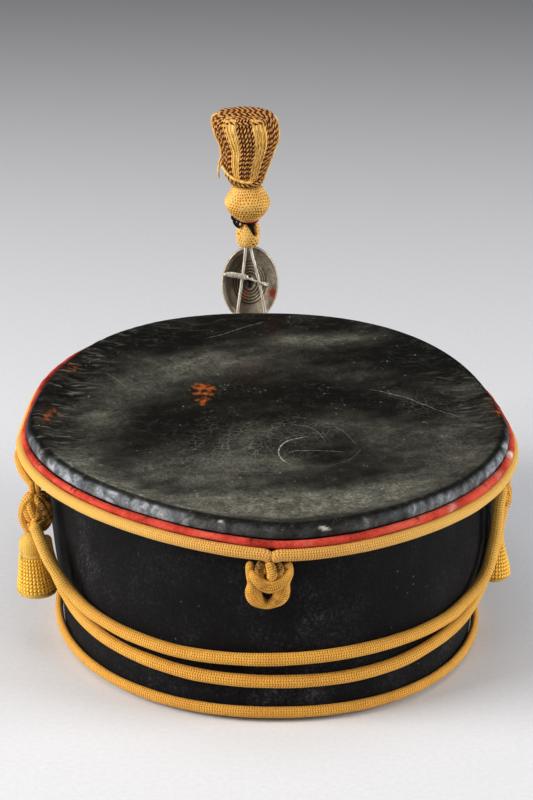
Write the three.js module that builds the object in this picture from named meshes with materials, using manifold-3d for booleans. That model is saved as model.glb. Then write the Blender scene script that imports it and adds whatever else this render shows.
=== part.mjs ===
// A cavalry shako of black felt with a leather top, trimmed with yellow braided cord.
// Millimetres, +Z up, +Y is the wearer's forward direction and +X the wearer's right.
import * as THREE from "three";
import { mergeVertices } from "three/addons/utils/BufferGeometryUtils.js";
import Module from "manifold-3d";

const wasm = await Module();
wasm.setup();

// Crown: the felt's outline where it stands, and the outline of the leather top's lower edge.
const BASE = { halfWidth: 86.3, front: 102, rear: 102, frontSquareness: 2.18, rearSquareness: 2.18 };
const RIM = { halfWidth: 99.8, front: 124.2, rear: 115.8, frontSquareness: 2.37, rearSquareness: 1.69 };
const RIM_EGG = { skew: 0.68, point: 1.58 };
const RIM_HEIGHT = { rear: 79.8, front: 87.8, sideDip: 2.5 };
const FELT = 3;
// The straight wall ends this far inside the rim outline and below its height.
const OVERHANG = 6.6;
const FLARE_DROP = 12;
const AROUND = 56;

// Gap between pieces that touch on the real hat.
const GAP = 0.3;

// Cords and piping: the centre of each lies out from the rim outline and below the leather's edge.
const PIPING = { radius: 1.45, out: 1.0, below: 1.5, sides: 6 };
const RIM_CORD = { radius: 2.3, out: 2.55, below: 5.0, sides: 8 };
const BASE_CORD = { halfThick: 1.7, halfTall: 2.3, height: 3.9, frontRise: 10, riseFrom: 18, sides: 8 };
const FESTOON = { radius: 2.45, sides: 8, steps: 36 };

// Section of the felt over its straight wall: it turns out to a ledge that carries the lid.
const FLARE_SECTION = [
  { out: -5.6, up: -10.2 },
  { out: -2.6, up: -8.9 },
  { out: -0.55, up: -6.8 },
  { out: -0.55, up: -0.2 },
  { out: -2.05, up: -0.2 },
  { out: -2.05, up: 2.3 },
  { out: -5.1, up: 2.3 },
  { out: -5.6, up: -4.5 },
  { out: -9.6, up: -12 },
];

// Leather lid: a rolled edge, and a plate that sinks to the middle and is dented by use.
const LID = { thick: 1.8, edgeIn: 10.5, edgeUp: 4.2, dish: 3.2 };
const LID_OUTSIDE = [
  { out: -1.7, up: 0.2 },
  { out: 0, up: 0.2 },
  { out: 0.5, up: 1.7 },
  { out: 0.1, up: 3.5 },
  { out: -1.2, up: 4.9 },
  { out: -3.4, up: 5.6 },
  { out: -6.4, up: 5.2 },
  { out: -10.5, up: 4.2 },
];
const LID_INSIDE = [
  { out: -10.5, up: 2.4 },
  { out: -5.4, up: 3.6 },
  { out: -1.75, up: 2.75 },
];
const PLATE_SHARES = [0.25, 0.5, 0.8];
const DENTS = [
  { across: 44, forward: 34, spread: 30, depth: 1.5 },
  { across: -38, forward: 4, spread: 24, depth: 1.1 },
  { across: 22, forward: -38, spread: 22, depth: 0.9 },
  { across: 4, forward: 62, spread: 24, depth: -0.9 },
  { across: -6, forward: -14, spread: 16, depth: -0.7 },
];

// Side knots hang under the rim cord, a little behind the middle. The left one is the fuller.
const KNOTS = {
  left: { across: -95.1, forward: -37, height: 59.0, radius: 6.6, halfTall: 8.7, hook: -95.7 },
  right: { across: 91.9, forward: -34, height: 64.4, radius: 5.3, halfTall: 6.6, hook: 94.5 },
};
const KNOT_NECK = 2.1;
const HOOK_STRAND = 1.5;

// Bullion tassels from the top down: a domed head, and a skirt of ribs that flares to a flat hem.
const TASSEL_RIBS = { count: 12, depth: 0.045 };
const TASSELS = {
  left: [
    { height: 49.9, radius: 1.6, across: -96.8 },
    { height: 48.8, radius: 3.6, across: -97.0 },
    { height: 46.3, radius: 5.0, across: -97.1 },
    { height: 43.0, radius: 5.4, across: -97.1 },
    { height: 41.4, radius: 5.1, across: -97.0 },
    { height: 39.8, radius: 5.8, across: -96.9 },
    { height: 33.0, radius: 7.0, across: -96.2 },
    { height: 25.0, radius: 7.9, across: -95.6 },
    { height: 23.6, radius: 7.4, across: -95.6 },
  ],
  right: [
    { height: 57.4, radius: 1.6, across: 91.9 },
    { height: 52.6, radius: 1.8, across: 91.8 },
    { height: 51.2, radius: 2.6, across: 91.8 },
    { height: 48.2, radius: 3.0, across: 91.8 },
    { height: 45.2, radius: 3.2, across: 91.9 },
    { height: 42.2, radius: 3.9, across: 91.9 },
    { height: 36.7, radius: 5.1, across: 91.9 },
    { height: 28.6, radius: 6.9, across: 92.0 },
    { height: 26.8, radius: 6.4, across: 92.0 },
  ],
};

// Rear loop under the join of the rim cord's ends.
const REAR_LOOP = { across: -5.3, angle: 267, strand: 2.2, sides: 8 };

// Badge: wires, pressed oval plate and netted plume, in front of the rim.
const COCKADE = { across: -3.2, height: 104.9, halfWidth: 13.65, halfTall: 18.6, plane: 133.4, around: 28 };
// Ribs of the plate from the rim in: share of its radius, and how far forward of its plane.
const COCKADE_BACK = [
  { share: 0.98, forward: 0 },
  { share: 0.8, forward: 0.1 },
  { share: 0.74, forward: 1.2 },
  { share: 0.56, forward: 2.2 },
  { share: 0.5, forward: 1.5 },
  { share: 0.42, forward: 2.4 },
  { share: 0.34, forward: 1.7 },
  { share: 0.24, forward: 2.6 },
  { share: 0.1, forward: 1.6 },
];
const COCKADE_FRONT = [
  { share: 1, forward: 0.3 },
  { share: 1, forward: 0.9 },
  { share: 0.8, forward: 1.6 },
  { share: 0.6, forward: 3.1 },
  { share: 0.42, forward: 3.3 },
  { share: 0.1, forward: 3.2 },
];
const WIRE = { radius: 0.62, sides: 6, steps: 44, plane: 131.9 };
const LUG = { height: 109.6, halfTall: 1.2, thick: 0.8, plane: 130.2 };
const BEAD = { across: -4.5, height: 129.9, radius: 5.5, halfTall: 5.8 };
const BULB = { across: -5.0, height: 144.9, radius: 10.8, halfTall: 8.5 };
const BRUSH = { across: -5.2, bottom: 154, top: 189.4, locks: 14, lockDepth: 0.05 };

// Peak and badge socket, on the side that faces away from the loop.
const PEAK = { from: 36, reach: 45, thick: 2.2, clearance: 0.8, arch: 7.5, tipArch: 1.6, camber: 1.4 };
const SOCKET = { across: -2.35, width: 21, depth: 4.6, top: 67, bottom: 47 };
const SOCKET_SLOT = { width: 18, depth: 2.2, deep: 9, plane: 121.6 };

const degrees = THREE.MathUtils.degToRad;

// Point of a rounded oblong outline at a parameter angle.
function outlinePoint(shape, angle) {
  const c = Math.cos(angle);
  const s = Math.sin(angle);
  const squareness = s >= 0 ? shape.frontSquareness : shape.rearSquareness;
  const length = s >= 0 ? shape.front : shape.rear;
  const power = 2 / squareness;
  return new THREE.Vector2(
    shape.halfWidth * Math.sign(c) * Math.abs(c) ** power,
    length * Math.sign(s) * Math.abs(s) ** power,
  );
}

function basePoint(angle) {
  return outlinePoint(BASE, angle);
}

// The rim is egg-shaped: a third harmonic draws the front out and flattens the rear.
function rimPoint(angle) {
  const p = outlinePoint(RIM, angle);
  const polar = Math.atan2(p.y, p.x);
  const grow = -RIM_EGG.skew * Math.cos(3 * polar) - RIM_EGG.point * Math.sin(3 * polar);
  return p.add(new THREE.Vector2(Math.cos(polar), Math.sin(polar)).multiplyScalar(grow));
}

// Outline moved outwards along its own normal.
function offsetPoint(outline, angle, out) {
  const step = 0.002;
  const along = outline(angle + step).sub(outline(angle - step)).normalize();
  return outline(angle).add(new THREE.Vector2(along.y, -along.x).multiplyScalar(out));
}

// The rim rises from rear to front, and dips a little at the sides.
function rimLevel(y) {
  return THREE.MathUtils.lerp(RIM_HEIGHT.rear, RIM_HEIGHT.front, (y + RIM.rear) / (RIM.rear + RIM.front));
}

function rimHeightAt(x, y) {
  return rimLevel(y) - RIM_HEIGHT.sideDip * Math.cos(Math.atan2(y, x)) ** 2;
}

function rimHeight(angle) {
  const p = rimPoint(angle);
  return rimHeightAt(p.x, p.y);
}

// Point beside the rim: out from its outline, and up from the leather's lower edge.
function besideRim(angle, out, up) {
  const p = offsetPoint(rimPoint, angle, out);
  return new THREE.Vector3(p.x, p.y, rimHeight(angle) + up);
}

// Point on the felt wall, which runs straight from the base outline to the flare under the rim.
function onWall(angle, height, out = 0) {
  const low = offsetPoint(basePoint, angle, out);
  const high = offsetPoint(rimPoint, angle, out - OVERHANG);
  const p = low.lerp(high, height / (rimHeight(angle) - FLARE_DROP));
  return new THREE.Vector3(p.x, p.y, height);
}

// Closed surface through rings of equal count: capped at both ends, or joined end to end.
function loft(rings, joined = false) {
  const count = rings[0].length;
  const positions = [];
  const triangle = (a, b, c) => positions.push(...a.toArray(), ...b.toArray(), ...c.toArray());
  const spans = joined ? rings.length : rings.length - 1;
  for (let i = 0; i < spans; i++) {
    const low = rings[i];
    const high = rings[(i + 1) % rings.length];
    for (let k = 0; k < count; k++) {
      const next = (k + 1) % count;
      triangle(low[k], low[next], high[next]);
      triangle(low[k], high[next], high[k]);
    }
  }
  if (!joined) {
    const first = rings[0];
    const last = rings[rings.length - 1];
    const middle = (ring) => ring.reduce((sum, p) => sum.add(p), new THREE.Vector3()).divideScalar(count);
    for (let k = 0; k < count; k++) {
      const next = (k + 1) % count;
      triangle(first[next], first[k], middle(first));
      triangle(last[k], last[next], middle(last));
    }
  }
  return facingOut(positions);
}

// Turns the triangles round if they enclose a negative volume.
function facingOut(positions) {
  let volume = 0;
  const [a, b, c] = [new THREE.Vector3(), new THREE.Vector3(), new THREE.Vector3()];
  for (let i = 0; i < positions.length; i += 9) {
    a.fromArray(positions, i);
    b.fromArray(positions, i + 3);
    c.fromArray(positions, i + 6);
    volume += a.dot(b.cross(c));
  }
  if (volume < 0) {
    for (let i = 0; i < positions.length; i += 9) {
      const second = positions.slice(i + 3, i + 6);
      positions.splice(i + 3, 3, ...positions.slice(i + 6, i + 9));
      positions.splice(i + 6, 3, ...second);
    }
  }
  return new THREE.BufferGeometry().setAttribute("position", new THREE.Float32BufferAttribute(positions, 3));
}

function angles(count) {
  return Array.from({ length: count }, (_, i) => (2 * Math.PI * i) / count);
}

// Section of a cord, for a sweep round the hat: out from the outline, and up.
function cordSection(out, up, halfThick, halfTall, sides) {
  return angles(sides).map((a) => {
    const turn = a + Math.PI / sides;
    return { out: out + halfThick * Math.cos(turn), up: up + halfTall * Math.sin(turn) };
  });
}

function rimTube({ radius, out, below, sides }) {
  const section = cordSection(out, -below, radius, radius, sides);
  return loft(angles(AROUND).map((a) => section.map((p) => besideRim(a, p.out, p.up))), true);
}

// Round tube along a curve. The radius is a number, or a function of the share of the length.
function tube(curve, steps, radius, sides, closed = false) {
  const frames = curve.computeFrenetFrames(steps, closed);
  const rings = [];
  for (let i = 0; i < (closed ? steps : steps + 1); i++) {
    const centre = curve.getPointAt(i / steps);
    const r = typeof radius === "number" ? radius : radius(i / steps);
    rings.push(
      angles(sides).map((a) =>
        centre
          .clone()
          .addScaledVector(frames.normals[i], r * Math.cos(a))
          .addScaledVector(frames.binormals[i], r * Math.sin(a)),
      ),
    );
  }
  return loft(rings, closed);
}

// Upright round solid with one centre per row, and an optional ribbed skin.
function turned(forward, rows, sides, ribs = { count: 0, depth: 0 }) {
  return loft(
    rows.map(({ height, radius, across }) =>
      angles(sides).map((a) => {
        const r = radius * (1 + ribs.depth * Math.cos(ribs.count * a));
        return new THREE.Vector3(across + r * Math.cos(a), forward + r * Math.sin(a), height);
      }),
    ),
  );
}

function solid(geometry) {
  const bare = geometry.clone();
  for (const name of Object.keys(bare.attributes)) {
    if (name !== "position") bare.deleteAttribute(name);
  }
  const merged = mergeVertices(bare, 1e-4);
  const vertProperties = merged.attributes.position.array;
  const triVerts = new Uint32Array(merged.index.array);
  return new wasm.Manifold(new wasm.Mesh({ numProp: 3, vertProperties, triVerts }));
}

function geometryOf(manifold) {
  const mesh = manifold.getMesh();
  return new THREE.BufferGeometry()
    .setAttribute("position", new THREE.BufferAttribute(mesh.vertProperties, 3))
    .setIndex(new THREE.BufferAttribute(mesh.triVerts, 1));
}

function joined(geometries) {
  return geometryOf(geometries.map(solid).reduce((sum, part) => sum.add(part)));
}

function cut(geometry, tool) {
  return geometryOf(solid(geometry).subtract(solid(tool)));
}

function box(low, high) {
  const size = new THREE.Vector3(...high).sub(new THREE.Vector3(...low));
  const middle = new THREE.Vector3(...high).add(new THREE.Vector3(...low)).divideScalar(2);
  return new THREE.BoxGeometry(size.x, size.y, size.z).translate(middle.x, middle.y, middle.z);
}

const MATERIALS = {
  felt: new THREE.MeshStandardMaterial({ color: 0x1b1b1e, roughness: 0.95, metalness: 0 }),
  leather: new THREE.MeshStandardMaterial({ color: 0x22221f, roughness: 0.45, metalness: 0 }),
  redCloth: new THREE.MeshStandardMaterial({ color: 0xb6322c, roughness: 0.85, metalness: 0 }),
  braid: new THREE.MeshStandardMaterial({ color: 0xd29a36, roughness: 0.75, metalness: 0 }),
  net: new THREE.MeshStandardMaterial({ color: 0xdcae58, roughness: 0.7, metalness: 0 }),
  pewter: new THREE.MeshStandardMaterial({ color: 0xa39c8c, roughness: 0.45, metalness: 0.9 }),
};

const shako = new THREE.Group();

function add(name, geometry, material) {
  const mesh = new THREE.Mesh(geometry, MATERIALS[material]);
  mesh.name = name;
  shako.add(mesh);
}

// Felt wall: an open tube whose top turns out under the rim, so that the lid sits over it.
function crownWall() {
  return loft(
    angles(AROUND).map((a) => [
      onWall(a, 0),
      onWall(a, rimHeight(a) - FLARE_DROP),
      ...FLARE_SECTION.map(({ out, up }) => besideRim(a, out, up)),
      onWall(a, 0, -FELT),
    ]),
    true,
  );
}

function dentDepth(x, y) {
  return DENTS.reduce((sum, dent) => {
    const away = Math.hypot(x - dent.across, y - dent.forward) / dent.spread;
    return sum + dent.depth * Math.exp(-2 * away ** 2);
  }, 0);
}

// Height of the plate at a share of the way from the middle to its edge, without its thickness.
function plateHeight(x, y, share, sideDip) {
  const fade = 1 - share ** 6;
  return rimLevel(y) - sideDip * share - LID.dish * (1 - share ** 2) - dentDepth(x, y) * fade;
}

// Leather lid: rolled edge round the wall's top, and a plate that sinks to the middle.
function crownLid() {
  const edgeRing = ({ out, up }) => angles(AROUND).map((a) => besideRim(a, out, up));
  const plateRing = (share, up) =>
    angles(AROUND).map((a) => {
      const edge = besideRim(a, -LID.edgeIn, 0);
      const x = edge.x * share;
      const y = edge.y * share;
      return new THREE.Vector3(x, y, plateHeight(x, y, share, rimLevel(edge.y) - edge.z) + up);
    });
  return loft([
    ...PLATE_SHARES.map((share) => plateRing(share, LID.edgeUp - LID.thick)),
    ...LID_INSIDE.map(edgeRing),
    ...LID_OUTSIDE.map(edgeRing),
    ...PLATE_SHARES.toReversed().map((share) => plateRing(share, LID.edgeUp)),
  ]);
}

// Cord round the base: level behind and at the sides, lifted over the peak in front.
function baseCord() {
  const { halfThick, halfTall, height, frontRise, riseFrom, sides } = BASE_CORD;
  const rise = (a) => {
    const share = (THREE.MathUtils.radToDeg(a) - riseFrom) / (180 - 2 * riseFrom);
    return share > 0 && share < 1 ? frontRise * Math.sin(Math.PI * share) ** 1.3 : 0;
  };
  const section = cordSection(GAP + halfThick, height, halfThick, halfTall, sides);
  return loft(angles(AROUND).map((a) => section.map((p) => onWall(a, p.up + rise(a), p.out))), true);
}

// Festoon cords behind: each row is the place along the wall, the height and the distance off the felt.
const FESTOON_UPPER = [
  { angle: 204.6, height: 54.2, off: 12.2 },
  { angle: 205.9, height: 49.3, off: 11.4 },
  { angle: 207.3, height: 43.6, off: 10.2 },
  { angle: 209.3, height: 37.1, off: 7.6 },
  { angle: 211.6, height: 31.4, off: 4.6 },
  { angle: 216, height: 28.2, off: 3.2 },
  { angle: 224, height: 27.0, off: 2.9 },
  { angle: 232, height: 26.5, off: 2.9 },
  { angle: 245, height: 26.2, off: 2.9 },
  { angle: 260, height: 27.2, off: 2.9 },
  { angle: 275, height: 28.1, off: 2.9 },
  { angle: 290, height: 28.4, off: 2.9 },
  { angle: 305, height: 28.2, off: 2.9 },
  { angle: 318, height: 28.0, off: 2.9 },
  { angle: 324, height: 29.2, off: 3.3 },
  { angle: 328.7, height: 32.0, off: 4.9 },
  { angle: 332.1, height: 38.2, off: 7.2 },
  { angle: 333.8, height: 46.2, off: 7.7 },
  { angle: 334.3, height: 53.5, off: 8.1 },
  { angle: 334.5, height: 59.5, off: 8.0 },
  { angle: 334.8, height: 66.0, off: 7.9 },
  { angle: 335.0, height: 72.1, off: 8.4 },
];
const FESTOON_LOWER = [
  { angle: 203.7, height: 51.0, off: 8.2 },
  { angle: 204.7, height: 44.0, off: 8.2 },
  { angle: 206.2, height: 35.5, off: 6.4 },
  { angle: 208, height: 28.2, off: 4.2 },
  { angle: 211.5, height: 23.8, off: 3.1 },
  { angle: 217, height: 21.6, off: 2.9 },
  { angle: 225, height: 20.0, off: 2.9 },
  { angle: 235, height: 19.0, off: 2.9 },
  { angle: 250, height: 18.1, off: 2.9 },
  { angle: 267, height: 18.1, off: 2.9 },
  { angle: 285, height: 18.0, off: 2.9 },
  { angle: 300, height: 18.7, off: 2.9 },
  { angle: 313, height: 20.6, off: 2.9 },
  { angle: 323, height: 22.0, off: 2.9 },
  { angle: 330.5, height: 24.2, off: 3.1 },
  { angle: 334.2, height: 29.2, off: 4.4 },
  { angle: 336.2, height: 35.5, off: 6.0 },
  { angle: 337.2, height: 42.7, off: 7.2 },
  { angle: 337.6, height: 48.0, off: 7.7 },
  { angle: 337.3, height: 54.4, off: 7.9 },
];

function festoon(rows) {
  const places = rows.map((row) => onWall(degrees(row.angle), row.height, row.off));
  const route = new THREE.CatmullRomCurve3(places, false, "centripetal");
  return tube(route, FESTOON.steps, FESTOON.radius, FESTOON.sides);
}

// Turk's-head knot on a short neck, with a strand that hooks up outside the rim cord on the left.
function sideKnot(knot, hooked) {
  const { across, forward, height, radius, halfTall, hook } = knot;
  const rows = [-1, -0.8, -0.35, 0.1, 0.5, 0.85, 1].map((h) => ({
    height: height + halfTall * h,
    radius: Math.max(radius * Math.sqrt(1 - h * h * 0.93), 1.2),
    across,
  }));
  const cordBottom = rimHeightAt(hook, forward) - RIM_CORD.below - RIM_CORD.radius;
  const neck = new THREE.LineCurve3(
    new THREE.Vector3(across, forward, height + halfTall * 0.6),
    new THREE.Vector3(hook, forward, cordBottom - 3 * GAP),
  );
  const pieces = [turned(forward, rows, 14), tube(neck, 1, KNOT_NECK, 8)];
  if (hooked) {
    const strand = new THREE.QuadraticBezierCurve3(
      new THREE.Vector3(across - 1.5, forward, height + halfTall * 0.7),
      new THREE.Vector3(hook - 5.2, forward + 1, cordBottom - 0.5),
      new THREE.Vector3(hook - 5.6, forward + 4, cordBottom + 5),
    );
    pieces.push(tube(strand, 6, HOOK_STRAND, 8));
  }
  return joined(pieces);
}

// Rear loop: a doubled strand hangs from the rim cord and carries a flat ring with a small eye.
function rearLoop() {
  const { across, angle, strand, sides } = REAR_LOOP;
  const place = degrees(angle);
  // Across the loop's own middle, below the leather's edge, and off the felt.
  const spot = ([x, below, off]) => {
    const wall = onWall(place, rimHeight(place) - below, off);
    return new THREE.Vector3(across + x, wall.y, wall.z);
  };
  const bow = new THREE.CatmullRomCurve3(
    [
      [-5.3, 9.0, 8.2],
      [-5.6, 12.0, 5.6],
      [-4.2, 16.0, 4.8],
      [0, 17.9, 4.9],
      [4.2, 16.0, 4.8],
      [5.7, 12.0, 5.6],
      [5.3, 9.0, 8.2],
    ].map(spot),
  );
  const ring = new THREE.CatmullRomCurve3(
    angles(12).map((a) => spot([0.1 + 5.7 * Math.cos(a), 22.1 - 4.1 * Math.sin(a), 3.1])),
    true,
  );
  const ringRadius = (share) => 2.1 + 0.45 * Math.cos(4 * Math.PI * share);
  const tongue = new THREE.LineCurve3(spot([0.2, 9.0, 8.2]), spot([0.2, 17, 4.2]));
  return joined([
    tube(bow, 16, strand, sides),
    tube(ring, 18, ringRadius, sides, true),
    tube(tongue, 1, strand * 0.9, sides),
  ]);
}

// Leather peak: starts at the base cord, arched across and running down to its edge.
function peak() {
  const { from, reach, thick, clearance, arch, tipArch, camber } = PEAK;
  const steps = 22;
  const rings = [];
  for (let i = 0; i <= steps; i++) {
    const share = THREE.MathUtils.lerp(0.02, 0.98, i / steps);
    const angle = degrees(THREE.MathUtils.lerp(from, 180 - from, share));
    const bump = Math.sin(Math.PI * share);
    const low = clearance + arch * bump;
    const inner = onWall(angle, low, 2 * GAP);
    const innerTop = onWall(angle, low + thick, 2 * GAP);
    const outward = new THREE.Vector3(0, 1, 0).lerp(offsetDirection(angle), 0.35).normalize();
    const outer = inner.clone().addScaledVector(outward, reach * bump ** 0.8);
    outer.z = clearance + tipArch * bump;
    const middle = inner.clone().lerp(outer, 0.5);
    middle.z += camber * bump;
    const lift = new THREE.Vector3(0, 0, thick);
    rings.push([inner, middle, outer, outer.clone().add(lift), middle.clone().add(lift), innerTop]);
  }
  return loft(rings);
}

function offsetDirection(angle) {
  const d = offsetPoint(basePoint, angle, 1).sub(basePoint(angle));
  return new THREE.Vector3(d.x, d.y, 0);
}

// Pressed oval plate with its hollow side to the rear, and the lug that holds it on the wires.
function cockade() {
  const { across, height, halfWidth, halfTall, plane, around } = COCKADE;
  const ring = ({ share, forward }) =>
    angles(around).map(
      (a) =>
        new THREE.Vector3(
          across + share * halfWidth * Math.cos(a),
          plane + forward,
          height + share * halfTall * Math.sin(a),
        ),
    );
  const plate = loft([...COCKADE_BACK.toReversed().map(ring), ...COCKADE_FRONT.map(ring)]);
  const left = across - halfWidth * 0.9;
  const right = across + 1.4;
  const low = LUG.height - LUG.halfTall;
  const high = LUG.height + LUG.halfTall;
  const bar = box([left, LUG.plane, low], [right, LUG.plane + LUG.thick, high]);
  const foot = box([left, LUG.plane, low], [left + 1.4, plane + 0.5, high]);
  const post = box([right - 2.3, LUG.plane, low], [right, plane + 2.4, high]);
  return joined([plate, bar, foot, post]);
}

// Bent wire: up one leg, round inside the bead and down the other, with both feet in the socket.
function badgeWires() {
  const { radius, sides, steps, plane } = WIRE;
  const foot = SOCKET_SLOT.plane;
  const leftLeg = [
    [-9.9, foot, 60],
    [-9.8, foot + 1, 64.5],
    [-9.6, foot + 5, 69.2],
    [-9.4, plane, 75.5],
    [-9.0, plane, 91.5],
    [-6.9, plane, 109],
    [-5.6, plane, 122.8],
    [-5.5, plane, 126.5],
  ];
  const rightLeg = [
    [-3.4, plane, 126.5],
    [-3.1, plane, 122.8],
    [0.4, plane, 109],
    [4.0, plane, 91.5],
    [4.6, plane, 75.5],
    [4.9, foot + 5, 69.2],
    [5.1, foot + 1, 64.5],
    [5.2, foot, 60],
  ];
  const route = [...leftLeg, [BEAD.across, plane, 127.9], ...rightLeg];
  const curve = new THREE.CatmullRomCurve3(route.map((p) => new THREE.Vector3(...p)), false, "centripetal");
  return tube(curve, steps, radius, sides);
}

// Netted bead with a slot below for the wires.
function bead() {
  const { across, height, radius, halfTall } = BEAD;
  const rows = [-1, -0.84, -0.45, 0.1, 0.6, 0.9, 1].map((h) => ({
    height: height + halfTall * h,
    radius: radius * (1 - Math.abs(h) ** 4 * 0.5),
    across,
  }));
  const slot = box(
    [across - 2.4, WIRE.plane - 1.1, height - halfTall - 1],
    [across + 2.5, WIRE.plane + 1.1, 129],
  );
  return cut(turned(WIRE.plane, rows, 14), slot);
}

// Netted bulb under the plume, drawn in above and below.
function bulb() {
  const { across, height, radius, halfTall } = BULB;
  const rows = [
    { share: -1, width: 0.36 },
    { share: -0.86, width: 0.68 },
    { share: -0.45, width: 0.92 },
    { share: -0.05, width: 1 },
    { share: 0.35, width: 0.93 },
    { share: 0.7, width: 0.76 },
    { share: 1, width: 0.68 },
  ].map(({ share, width }) => ({ height: height + halfTall * share, radius: radius * width, across }));
  return turned(WIRE.plane, rows, 16);
}

// Plume of cord loops: upright locks that swell to the top and turn in to a hollow crown.
function brush() {
  const { across, bottom, top, locks, lockDepth } = BRUSH;
  const rows = [
    { share: 0, radius: 7.5, lean: 0 },
    { share: 0.12, radius: 9.2, lean: 0 },
    { share: 0.28, radius: 10.7, lean: 0.2 },
    { share: 0.5, radius: 12.7, lean: 0.5 },
    { share: 0.68, radius: 14.0, lean: 0.5 },
    { share: 0.86, radius: 14.8, lean: -0.9 },
    { share: 0.95, radius: 13.4, lean: -0.6 },
    { share: 1, radius: 9.6, lean: 0 },
    { share: 0.965, radius: 4.2, lean: 0 },
  ].map(({ share, radius, lean }) => ({
    height: THREE.MathUtils.lerp(bottom, top, share),
    radius,
    across: across + lean,
  }));
  return turned(WIRE.plane, rows, 2 * locks, { count: locks, depth: lockDepth });
}

// Plain leather socket on the felt, which takes the feet of the wires.
function badgeSocket() {
  const { across, width, depth, top, bottom } = SOCKET;
  const slot = SOCKET_SLOT;
  const back = Math.max(onWall(degrees(90), top).y, onWall(degrees(90), bottom).y) + GAP;
  const shell = box([across - width / 2, back, bottom], [across + width / 2, back + depth, top]);
  const opening = box(
    [across - slot.width / 2, slot.plane - slot.depth / 2, top - slot.deep],
    [across + slot.width / 2, slot.plane + slot.depth / 2, top + 1],
  );
  return cut(shell, opening);
}

add("crown_wall", crownWall(), "felt");
add("crown_lid", crownLid(), "leather");
add("rim_piping", rimTube(PIPING), "redCloth");
add("rim_cord", rimTube(RIM_CORD), "braid");
add("base_cord", baseCord(), "braid");
add("festoon_upper", festoon(FESTOON_UPPER), "braid");
add("festoon_lower", festoon(FESTOON_LOWER), "braid");
add("rear_loop", rearLoop(), "braid");
for (const side of ["left", "right"]) {
  add(`${side}_knot`, sideKnot(KNOTS[side], side === "left"), "braid");
  add(`${side}_tassel`, turned(KNOTS[side].forward, TASSELS[side], 2 * TASSEL_RIBS.count, TASSEL_RIBS), "braid");
}
add("peak", peak(), "leather");
add("badge_socket", badgeSocket(), "leather");
add("badge_wires", badgeWires(), "pewter");
add("cockade", cockade(), "pewter");
add("plume_bead", bead(), "net");
add("plume_bulb", bulb(), "net");
add("plume_brush", brush(), "net");

// The origin is the middle of the footprint's box, on the surface that the hat stands on.
const extent = new THREE.Box3().setFromObject(shako);
const centre = extent.getCenter(new THREE.Vector3());
shako.position.set(-centre.x, -centre.y, 0);

export default shako;
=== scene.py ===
"""A shako of black felt with a leather top, yellow braided cords and a netted plume.

The photograph shows it from behind and above. Sizes are millimetres on the crown's own upright axis: +X is
the wearer's right, +Y forward and +Z up. in_frame() turns them into the frame's metres.
"""

import math

import bpy
import numpy as np
from mathutils import Matrix, Vector


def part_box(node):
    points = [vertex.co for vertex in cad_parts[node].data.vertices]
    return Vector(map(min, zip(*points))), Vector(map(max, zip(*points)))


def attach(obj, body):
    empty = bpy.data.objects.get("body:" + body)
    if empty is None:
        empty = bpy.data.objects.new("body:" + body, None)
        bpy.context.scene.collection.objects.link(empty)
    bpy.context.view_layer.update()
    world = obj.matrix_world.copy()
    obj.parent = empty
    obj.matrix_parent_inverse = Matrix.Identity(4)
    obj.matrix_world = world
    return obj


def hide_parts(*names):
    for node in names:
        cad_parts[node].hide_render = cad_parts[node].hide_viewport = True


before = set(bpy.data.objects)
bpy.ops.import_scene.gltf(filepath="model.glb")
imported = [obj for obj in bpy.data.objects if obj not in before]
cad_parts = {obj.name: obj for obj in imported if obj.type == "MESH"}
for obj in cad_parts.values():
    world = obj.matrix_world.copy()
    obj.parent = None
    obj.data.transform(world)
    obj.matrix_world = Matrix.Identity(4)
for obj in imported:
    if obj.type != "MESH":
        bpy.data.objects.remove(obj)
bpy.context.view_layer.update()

# Crown: the felt's outline where it stands, and the outline of the leather's lower edge.
# Columns: half width, front, rear, squareness in front, squareness behind.
BASE = (86.3, 102, 102, 2.18, 2.18)
RIM = (99.8, 124.2, 115.8, 2.37, 1.69)
RIM_SKEW, RIM_POINT = 0.68, 1.58
RIM_REAR_HEIGHT, RIM_FRONT_HEIGHT, RIM_SIDE_DIP = 79.8, 87.8, 2.5
FELT_THICK = 3.0
OVERHANG = 6.6
FLARE_DROP = 12.0

# The plume stands on this plane; its bulb's box gives the crown's axis in the frame.
PLUME_ACROSS, PLUME_FORWARD = -5.0, 131.9
bulb_low, bulb_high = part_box("plume_bulb")
AXIS = 500 * np.array(bulb_low + bulb_high) - np.array([PLUME_ACROSS, PLUME_FORWARD, 0])
AXIS[2] = 0.0


def in_frame(points):
    return (np.asarray(points, float) + AXIS) / 1000


# Shapes shared with the frame

def outline(shape, turn):
    """Point of a rounded oblong outline at a parameter angle."""
    half_width, front, rear, front_square, rear_square = shape
    c, s = np.cos(turn), np.sin(turn)
    power = 2 / np.where(s >= 0, front_square, rear_square)
    length = np.where(s >= 0, front, rear)
    across = half_width * np.sign(c) * np.abs(c) ** power
    forward = length * np.sign(s) * np.abs(s) ** power
    return np.stack([across, forward], -1)


def base_outline(turn):
    return outline(BASE, turn)


def rim_outline(turn):
    p = outline(RIM, turn)
    polar = np.arctan2(p[..., 1], p[..., 0])
    grow = -RIM_SKEW * np.cos(3 * polar) - RIM_POINT * np.sin(3 * polar)
    return p + grow[..., None] * np.stack([np.cos(polar), np.sin(polar)], -1)


def moved_out(shape, turn, out):
    """The outline's point at an angle, moved outwards along the outline's normal."""
    step = 0.002
    along = shape(turn + step) - shape(turn - step)
    along /= np.linalg.norm(along, axis=-1, keepdims=True)
    return shape(turn) + np.asarray(out)[..., None] * np.stack([along[..., 1], -along[..., 0]], -1)


def rim_level(y):
    return RIM_REAR_HEIGHT + (RIM_FRONT_HEIGHT - RIM_REAR_HEIGHT) * (y + RIM[2]) / (RIM[2] + RIM[1])


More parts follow.
